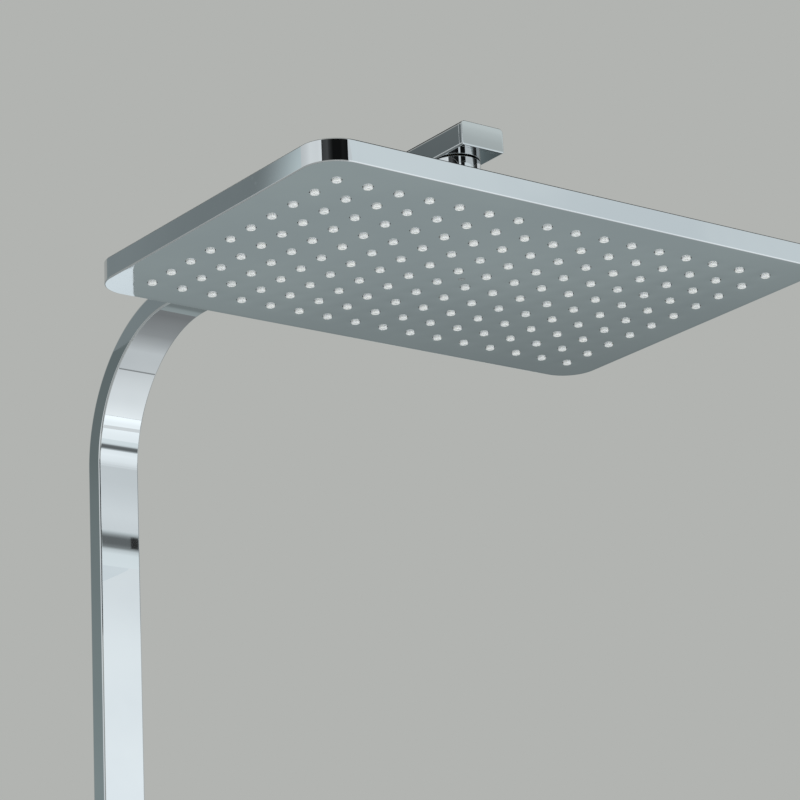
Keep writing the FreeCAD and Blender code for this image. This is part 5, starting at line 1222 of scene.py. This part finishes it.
@dataclass
class WallFittings:
    """The two bell covers at the wall and the offset unions behind them.

    Attributes:
        half_spacing: Half the distance between the supplies.
        drop: How far the valve's inlets lie below the supplies.
        rim: Largest radius of a bell.
        neck: Radius of the bell's collar.
        bore: Radius inside the collar.
        depth: Depth of the bell without its collar.
        collar: Length of the collar.
        wall: Thickness of the bell's sheet.
        stud: Heights of the union's end in the supply and of its thread's lower end.
        front: Heights of the union's threaded front: root, start of the thread and end.
        thread: Threads of the unions.
    """

    half_spacing: float = 75.0
    drop: float = 8.0
    rim: float = 33.0
    neck: float = 15.5
    bore: float = 13.32
    depth: float = 12.5
    collar: float = 4.5
    wall: float = 1.6
    stud: tuple[float, float] = (-14.0, -13.2)
    front: tuple[float, float, float] = (5.0, 11.0, 27.5)
    thread: Threads = field(default_factory=Threads)

    def places(self, height: float) -> list[tuple[float, float, float]]:
        """Where the left and the right one stand on the wall, at a height."""
        return [(side * self.half_spacing, 0.0, height) for side in (-1, 1)]

    def bells(self) -> list[Skin]:
        """Bell covers: a rolled rim, a swelling shoulder and a short collar.

        The outline of radius and height goes up outside and comes down inside, one sheet
        thickness lower, with every corner rounded.

        Returns:
            Two turned skins, facing away from the wall.
        """
        top = self.depth + self.collar
        corners = [
            (self.rim - self.wall, 0.0), (self.rim, 0.0), (self.rim, 3.0), (26.0, self.depth),
            (self.neck, self.depth), (self.neck, top), (self.bore, top),
            (self.bore, self.depth - self.wall), (24.8, self.depth - self.wall),
            (self.rim - self.wall, 2.4),
        ]
        radii = [0.3, 0.4, 2.4, 6.0, 1.2, 0.5, 0.2, 0.2, 4.6, 1.4]
        skin = turned(rounded_path(corners, radii, 9), 144)
        return [skin.placed(Facing.FRONT, place) for place in self.places(-self.drop)]

    def unions(self) -> list[Skin]:
        """Offset unions: threaded stud and root at the supply, threaded front at the inlet.

        Returns:
            Four turned skins, two for each union.
        """
        small, large = self.thread.half_inch, self.thread.three_quarter
        end, start = self.stud
        stud = np.vstack([
            [(7.0, end), (9.6, end)], self.thread.wall(small, start, -0.6), [(small, -0.1)],
            rounded_path([(10.5, 0.0), (13.5, 0.0), (13.5, 10.0), (7.0, 10.0)],
                         [0.02, 0.3, 0.6, 0.1], 4),
        ])
        back = self.thread.cut(stud, start, -1.0)
        root, first, tip = self.front
        front = np.vstack([
            [(8.0, root), (large, root)], self.thread.wall(large, first, tip - 0.5),
            [(12.6, tip), (8.0, tip)],
        ])
        ahead = self.thread.cut(front, first + 0.5, tip - 0.3)
        skins = [back.placed(Facing.FRONT, place) for place in self.places(0.0)]
        return skins + [ahead.placed(Facing.FRONT, place) for place in self.places(-self.drop)]

    def build(self, shop: Workshop) -> None:
        """Builds and fits the bells and the unions.

        Args:
            shop: Workshop with the finishes.
        """
        bells = Piece("wall_bells", self.bells()).build()
        shop.fit(bells, "polished_chrome", "wall_set", "escutcheons")
        unions = Piece("offset_unions", self.unions()).build()
        shop.fit(unions, "bare_brass", "wall_set", "wall_unions")


# The studio


class Run(Enum):
    """Which way a card's light runs."""

    ACROSS = "across"
    UP = "up"


# Where the camera stands, in metres.
EYE = (-1.04424, -1.76677, 0.36214)


def mirrored(*planes: tuple[int, float]) -> tuple[float, float, float]:
    """The camera's place as flat mirrors show it.

    Each mirror square to an axis at the place m turns the coordinate c into 2 m - c, so a
    card aimed from there fills the same part of the mirror's picture at any distance.

    Args:
        planes: Axis number and place of each mirror, in the order that the light takes.

    Returns:
        The mirrored point in metres.
    """
    place = list(EYE)
    for axis, at in planes:
        place[axis] = 2 * at - place[axis]
    return tuple(place)


@dataclass(frozen=True)
class Card:
    """A studio card that only mirrors see, bent round a point like a piece of a drum.

    Attributes:
        name: Name of the card.
        centre: Point that it is bent round, in metres.
        across: First and last direction, in degrees from +X to +Y.
        upward: Lowest and highest direction, in degrees.
        away: Distance in metres.
        stops: Places along the run, in degrees, and the strength of the light there.
        run: Which way the stops run.
        tint: Red, green and blue share of the light.
        STEPS: Columns and rows of the card, before those at the stops are added.
    """

    name: str
    centre: tuple[float, float, float]
    across: tuple[float, float]
    upward: tuple[float, float]
    away: float
    stops: tuple[tuple[float, float], ...]
    run: Run = Run.UP
    tint: tuple[float, float, float] = (0.96, 1.0, 1.02)

    STEPS: ClassVar[int] = 17

    def ticks(self) -> tuple[np.ndarray, np.ndarray]:
        """Steps across and upward, with one at every stop.

        Returns:
            The places of the columns and of the rows.
        """
        stops = np.array([place for place, _ in self.stops])
        across = np.linspace(*self.across, self.STEPS)
        upward = np.linspace(*self.upward, self.STEPS)
        if self.run is Run.ACROSS:
            across = np.union1d(across, stops[(stops > across[0]) & (stops < across[-1])])
        else:
            upward = np.union1d(upward, stops[(stops > upward[0]) & (stops < upward[-1])])
        return across, upward

    def spots(self, across: np.ndarray, upward: np.ndarray) -> np.ndarray:
        """Points of the card.

        At the direction a and the slope e the point is C + d (cos a, sin a, tan e).

        Args:
            across: Directions of the columns.
            upward: Slopes of the rows.

        Returns:
            Array (rows, columns, 3) in metres.
        """
        a, e = np.meshgrid(np.radians(across), np.radians(upward))
        ray = np.stack([np.cos(a), np.sin(a), np.tan(e)], axis=-1)
        return np.array(self.centre) + self.away * ray

    def build(self, material: bpy.types.Material) -> None:
        """Makes the card's mesh, with its light as an attribute.

        Args:
            material: Material that shines with the attribute named light.
        """
        across, upward = self.ticks()
        points = self.spots(across, upward)
        places, strengths = np.array(self.stops).T
        run = across[None, :] if self.run is Run.ACROSS else upward[:, None]
        light = np.broadcast_to(np.interp(run, places, strengths), points.shape[:2])
        colours = np.concatenate(
            [light[..., None] * np.array(self.tint), np.ones(points.shape[:2] + (1,))], axis=-1
        )
        mesh = bpy.data.meshes.new(self.name)
        mesh.from_pydata(points.reshape(-1, 3), [], Skin(points, False).faces(0))
        layer = mesh.attributes.new("light", "FLOAT_COLOR", "POINT")
        layer.data.foreach_set("color", colours.ravel())
        mesh.materials.append(material)
        card = bpy.data.objects.new(self.name, mesh)
        bpy.context.scene.collection.objects.link(card)
        card.visible_camera = card.visible_diffuse = card.visible_shadow = False
        card.visible_transmission = card.visible_volume_scatter = False


@dataclass(frozen=True)
class FrontCard(Card):
    """A card on an upright plane in front of the part.

    Its places are metres from the centre: across is X, upward is Z and away is how far in
    front it stands.
    """

    def spots(self, across: np.ndarray, upward: np.ndarray) -> np.ndarray:
        """Points of the card, the centre plus (x, -away, z)."""
        x, z = np.meshgrid(across, upward)
        return np.array(self.centre) + np.stack([x, np.full_like(x, -self.away), z], axis=-1)


@dataclass(frozen=True)
class FloorCard(Card):
    """A card that lies just above the floor.

    Its places are metres from the centre: across is X, upward is Y and away is its depth.
    """

    def spots(self, across: np.ndarray, upward: np.ndarray) -> np.ndarray:
        """Points of the card, the centre plus (x, y, -away)."""
        x, y = np.meshgrid(across, upward)
        return np.array(self.centre) + np.stack([x, y, np.full_like(x, -self.away)], axis=-1)


@dataclass(frozen=True)
class Lamp:
    """A soft round lamp that mirrors don't show.

    Attributes:
        name: Name of the lamp.
        spot: Where it hangs, in metres.
        aim: Point that it shines at.
        size: Diameter in metres.
        watts: Power.
    """

    name: str
    spot: tuple[float, float, float]
    aim: tuple[float, float, float]
    size: float
    watts: float

    def build(self) -> None:
        """Hangs the lamp, its own Z axis pointing away from the aim."""
        data = bpy.data.lights.new(self.name, "AREA")
        data.shape, data.size, data.energy = "DISK", self.size, self.watts
        lamp = bpy.data.objects.new(self.name, data)
        bpy.context.scene.collection.objects.link(lamp)
        way = np.array(self.spot) - np.array(self.aim)
        way /= np.linalg.norm(way)
        side = np.cross((0.0, 0.0, 1.0), way)
        side /= np.linalg.norm(side)
        turn = np.column_stack([side, np.cross(way, side), way])
        lamp.matrix_world = Matrix.Translation(self.spot) @ Matrix(turn.tolist()).to_4x4()
        lamp.visible_glossy = False


@dataclass
class Studio:
    """Background, floor, cards, lamps and camera.

    Attributes:
        backdrop: Colour behind the part, linear.
        soft_light: Colour of the light that comes from all sides.
        soft_strength: Strength of that light.
        floor_depth: How far the floor lies below the origin, in metres.
        floor_half: Half the floor's side, in metres.
        floor_tones: The two colours that the floor drifts between.
        view: Azimuth, rise and roll of the camera, in degrees.
        lens: Focal length of the camera for a sensor 36 mm wide.
        CORNER: The head's near left corner, in metres, as the other two places.
        NUT: Middle of the nut.
        ORIGIN: Origin of the part.
        SLATE: Tint of a card that darkens.
        SKY: Tint of a card that brightens.
        CARDS: The cards, each named after what mirrors it.
        LAMPS: A large lamp in front on the left, weaker ones on the right and below.
    """

    backdrop: tuple[float, float, float] = (0.445, 0.456, 0.440)
    soft_light: tuple[float, float, float] = (0.95, 0.98, 1.0)
    soft_strength: float = 0.62
    floor_depth: float = 0.46
    floor_half: float = 9.0
    floor_tones: tuple[tuple[float, float, float], ...] = (
        (0.56, 0.57, 0.555), (0.60, 0.61, 0.595)
    )
    view: tuple[float, float, float] = (37.011, 17.412, 2.688)
    lens: float = 141.8

    CORNER = (-0.17, -0.555, 0.967)
    NUT = (0.0, -0.445, 1.027)
    ORIGIN = (0.0, 0.0, 0.0)
    SLATE = (0.82, 1.0, 1.03)
    SKY = (0.915, 1.0, 1.035)

    CARDS = (
        Card("flag_camera", CORNER, (199.0, 279.3), (13.0, 30.0), 2.6,
             ((199.0, 0.03), (203.0, 0.07), (217.0, 0.085), (221.0, 0.045), (227.0, 0.025),
              (233.0, 0.008), (255.0, 0.008), (262.0, 0.014), (273.0, 0.011), (279.3, 0.003)),
             Run.ACROSS),
        Card("panel_left", CORNER, (125.4, 198.9), (0.0, 45.0), 2.7,
             ((125.4, 0.75), (145.0, 0.85), (160.0, 0.97), (186.0, 0.95), (198.9, 1.02)),
             Run.ACROSS),
        Card("flag_left", mirrored((0, -0.175)), (112.0, 127.0), (19.2, 27.0), 4.4,
             ((112.0, 0.31), (121.9, 0.30), (122.5, 0.285), (123.2, 0.27), (124.0, 0.262),
              (124.45, 0.25), (124.55, 0.27), (124.68, 0.33), (124.88, 0.45), (125.08, 0.59),
              (125.3, 0.73), (127.0, 0.78)), Run.ACROSS, (0.87, 1.0, 1.03)),
        Card("flag_riser", mirrored((0, -0.015)), (116.0, 124.0), (-12.0, 19.1), 4.7,
             ((-12.0, 0.5), (9.0, 0.38), (10.7, 0.35), (12.2, 0.31), (13.6, 0.28),
              (15.8, 0.24), (16.5, 0.21), (19.1, 0.21)), Run.UP, (0.84, 1.0, 1.01)),
        Card("flag_arm", mirrored((0, -0.015)), (126.4, 128.9), (21.2, 22.9), 2.57,
             ((21.2, 0.165), (22.9, 0.195)), Run.UP, (0.88, 1.0, 1.03)),
        Card("flag_under", mirrored((2, 0.9602)), (36.0, 66.0), (-23.0, -14.0), 4.2,
             ((-23.0, 0.43), (-20.0, 0.39), (-19.5, 0.37), (-19.0, 0.33), (-18.1, 0.28),
              (-17.7, 0.255), (-14.0, 0.22)), Run.UP, (0.87, 1.0, 1.01)),
        Card("flag_top", CORNER, (-52.0, 102.0), (30.0, 66.0), 2.8,
             ((30.0, 0.06), (66.0, 0.04))),
        Card("flag_cover", mirrored((2, 1.0305), (2, 0.973)), (46.0, 54.0), (19.0, 26.0), 4.3,
             ((46.0, 0.16), (50.9, 0.17), (51.1, 0.21), (51.4, 0.36), (54.0, 0.5)),
             Run.ACROSS, SLATE),
        Card("nut_line_low", NUT, (247.5, 256.0), (10.0, 16.1), 0.35, ((10.0, 1.1), (16.1, 1.1))),
        Card("nut_line_high", NUT, (247.5, 256.0), (17.3, 24.5), 0.35, ((17.3, 1.1), (24.5, 1.1))),
        Card("flag_low", NUT, (199.0, 344.0), (-22.6, -19.8), 0.9,
             ((199.0, 0.05), (217.0, 0.08), (227.0, 0.02), (247.4, 0.01), (247.5, 1.1),
              (256.0, 1.1), (256.1, 0.01), (279.3, 0.01), (279.4, 1.0), (320.9, 0.95),
              (321.0, 0.3), (327.0, 0.1), (340.0, 0.02), (344.0, 0.02)), Run.ACROSS),
        Card("flag_right", NUT, (321.0, 348.0), (10.0, 30.0), 2.2,
             ((321.0, 0.3), (327.0, 0.1), (340.0, 0.02), (348.0, 0.02)), Run.ACROSS),
        Card("panel_far_right", NUT, (348.5, 380.0), (-6.0, 40.0), 2.2,
             ((348.5, 0.8), (380.0, 0.7)), Run.ACROSS),
        FrontCard("wall_low", ORIGIN, (0.2, 3.2), (-0.44, 2.0), 3.0,
                  ((-0.44, 1.5), (-0.3, 1.5), (-0.09, 1.33), (0.2, 1.33), (0.44, 1.26),
                   (0.7, 1.22), (0.93, 1.12), (1.2, 1.2),
                   (1.36, 1.26), (1.425, 1.22), (1.567, 1.18), (1.639, 1.15), (1.712, 1.07),
                   (1.785, 1.03), (1.799, 0.98), (1.84, 0.92), (1.866, 0.98), (1.895, 0.91),
                   (1.925, 0.84), (2.0, 0.83)), Run.UP, (0.945, 1.0, 1.03)),
        # Painted reflection: these two dark cards hang between the riser and the head and paint
        # the head rim's mirror image on the riser as a band and a spot of painted shade, hiding
        # the rim's own mirror image.
        FrontCard("rim_shade", ORIGIN, (0.035, 0.183), (0.9435, 0.9703), 0.285,
                  ((0.9435, 1.07), (0.953, 1.04), (0.9562, 0.8), (0.958, 0.3), (0.9607, 0.18),
                   (0.9654, 0.18), (0.9674, 0.4), (0.9703, 0.9)), Run.UP, (0.92, 1.0, 1.03)),
        FrontCard("rim_shade_spot", ORIGIN, (0.1399, 0.1468), (0.9585, 0.9672), 0.2845,
                  ((0.9585, 0.04), (0.9672, 0.03))),
        FrontCard("wall_rim", ORIGIN, (1.5, 3.2), (2.0, 2.33), 3.0,
                  ((1.5, 0.93), (1.64, 0.92), (1.93, 0.90), (2.13, 0.88), (3.2, 0.86)),
                  Run.ACROSS, SKY),
        FrontCard("wall_corner", ORIGIN, (0.2, 1.5), (2.0, 2.45), 3.0,
                  ((0.2, 0.92), (1.5, 0.93)), Run.ACROSS, SKY),
        FrontCard("wall_end", ORIGIN, (1.5, 2.9), (2.33, 2.5), 3.0,
                  ((2.33, 0.57), (2.343, 0.585), (2.352, 0.61), (2.366, 0.7), (2.373, 0.78),
                   (2.5, 0.8)), Run.UP, (0.92, 1.0, 1.0)),
        FloorCard("floor_run", ORIGIN, (0.3, 3.0), (-3.0, 4.0), 0.45,
                  ((-3.0, 1.25), (-2.58, 1.19), (-1.82, 1.07), (-1.33, 1.02), (-0.96, 0.94),
                   (-0.69, 0.86), (-0.685, 0.35), (-0.655, 0.35), (-0.65, 0.8), (-0.39, 0.78),
                   (-0.15, 0.78), (0.1, 0.57), (0.36, 0.4), (0.65, 0.35), (1.48, 0.26),
                   (4.0, 0.26))),
    )
    LAMPS = (
        Lamp("key", (-1.6, -2.4, 2.6), (0.0, -0.3, 0.6), 2.2, 45.0),
        Lamp("fill", (2.2, -2.0, 1.2), (0.0, -0.2, 0.5), 2.0, 22.0),
        Lamp("under", (-0.4, -1.3, -0.1), (0.0, -0.45, 0.96), 1.0, 9.0),
    )

    def world(self) -> None:
        """Background for the camera, mirrors and glass, and soft light for the rest."""
        world = bpy.data.worlds.new("studio")
        bpy.context.scene.world = world
        world.use_nodes = True
        tree = world.node_tree
        tree.nodes.clear()
        path = add(tree, "ShaderNodeLightPath")
        seen = math_node(
            tree, "MAXIMUM", path.outputs["Is Camera Ray"],
            math_node(tree, "MAXIMUM", path.outputs["Is Glossy Ray"],
                      path.outputs["Is Transmission Ray"]),
        )
        soft = add(tree, "ShaderNodeBackground", in_Color=(*self.soft_light, 1.0),
                   in_Strength=self.soft_strength)
        plain = add(tree, "ShaderNodeBackground", in_Color=(*self.backdrop, 1.0), in_Strength=1.0)
        mix = add(tree, "ShaderNodeMixShader")
        out = add(tree, "ShaderNodeOutputWorld")
        tree.links.new(seen, mix.inputs[0])
        tree.links.new(soft.outputs[0], mix.inputs[1])
        tree.links.new(plain.outputs[0], mix.inputs[2])
        tree.links.new(mix.outputs[0], out.inputs[0])

    def floor(self) -> None:
        """A wide pale floor below the part."""
        side = np.linspace(-self.floor_half, self.floor_half, 13)
        x, y = np.meshgrid(side, side)
        points = np.stack([x, y, np.full_like(x, -self.floor_depth)], axis=-1)
        mesh = bpy.data.meshes.new("floor")
        mesh.from_pydata(points.reshape(-1, 3), [], Skin(points, False).faces(0))
        material = bpy.data.materials.new("floor_finish")
        material.use_nodes = True
        tree = material.node_tree
        shader = tree.nodes["Principled BSDF"]
        noise = add(tree, "ShaderNodeTexNoise", in_Scale=3.0, in_Detail=6.0)
        tree.links.new(add(tree, "ShaderNodeTexCoord").outputs["Object"], noise.inputs["Vector"])
        mix = add(tree, "ShaderNodeMix", data_type="RGBA")
        for socket, tone in zip(mix.inputs[6:8], self.floor_tones):
            socket.default_value = (*tone, 1.0)
        tree.links.new(noise.outputs["Fac"], mix.inputs[0])
        tree.links.new(mix.outputs[2], shader.inputs["Base Color"])
        shader.inputs["Roughness"].default_value = 0.8
        shader.inputs["Specular IOR Level"].default_value = 0.2
        mesh.materials.append(material)
        floor = bpy.data.objects.new("floor", mesh)
        bpy.context.scene.collection.objects.link(floor)

    def card_material(self) -> bpy.types.Material:
        """Material that shines with the attribute named light.

        Returns:
            The material.
        """
        material = bpy.data.materials.new("card_light")
        material.use_nodes = True
        tree = material.node_tree
        tree.nodes.clear()
        light = add(tree, "ShaderNodeAttribute", attribute_name="light")
        shine = add(tree, "ShaderNodeEmission", in_Strength=1.0)
        out = add(tree, "ShaderNodeOutputMaterial")
        tree.links.new(light.outputs["Color"], shine.inputs["Color"])
        tree.links.new(shine.outputs[0], out.inputs["Surface"])
        material.cycles.emission_sampling = "NONE"
        return material

    def camera(self) -> None:
        """Camera at the viewing angle: from below on the left, with a slight roll."""
        azimuth, rise, roll = np.radians(self.view)
        ahead = np.array([
            np.sin(azimuth) * np.cos(rise), np.cos(azimuth) * np.cos(rise), np.sin(rise)
        ])
        right = np.cross(ahead, (0.0, 0.0, 1.0))
        right /= np.linalg.norm(right)
        down = np.cross(ahead, right)
        x = np.cos(roll) * right + np.sin(roll) * down
        y = np.sin(roll) * right - np.cos(roll) * down
        data = bpy.data.cameras.new("view")
        data.sensor_fit, data.sensor_width, data.lens = "HORIZONTAL", 36.0, self.lens
        data.clip_end = 60.0
        camera = bpy.data.objects.new("view", data)
        bpy.context.scene.collection.objects.link(camera)
        turn = Matrix(np.column_stack([x, y, -ahead]).tolist()).to_4x4()
        camera.matrix_world = Matrix.Translation(EYE) @ turn
        bpy.context.scene.camera = camera

    def build(self) -> None:
        """Sets up the whole studio."""
        bpy.context.scene.view_settings.view_transform = "Standard"
        self.world()
        self.floor()
        material = self.card_material()
        for card in self.CARDS:
            card.build(material)
        for lamp in self.LAMPS:
            lamp.build()
        self.camera()
        LOG.info("studio: %d cards, %d lamps", len(self.CARDS), len(self.LAMPS))


def main() -> None:
    """Builds every sub-assembly in order and notes the sizes."""
    logging.basicConfig(level=logging.INFO, format="%(name)s: %(message)s")
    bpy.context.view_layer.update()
    shop = Workshop()
    shop.dress_nodes(frame["nodes"], frame["record"]["subparts"])
    for assembly in (RainHead(), SwivelJoint(), Riser(), HoseOutlet(), WallFittings()):
        assembly.build(shop)
        LOG.info("%s done", type(assembly).__name__)
    Studio().build()


if __name__ == "__main__":
    main()
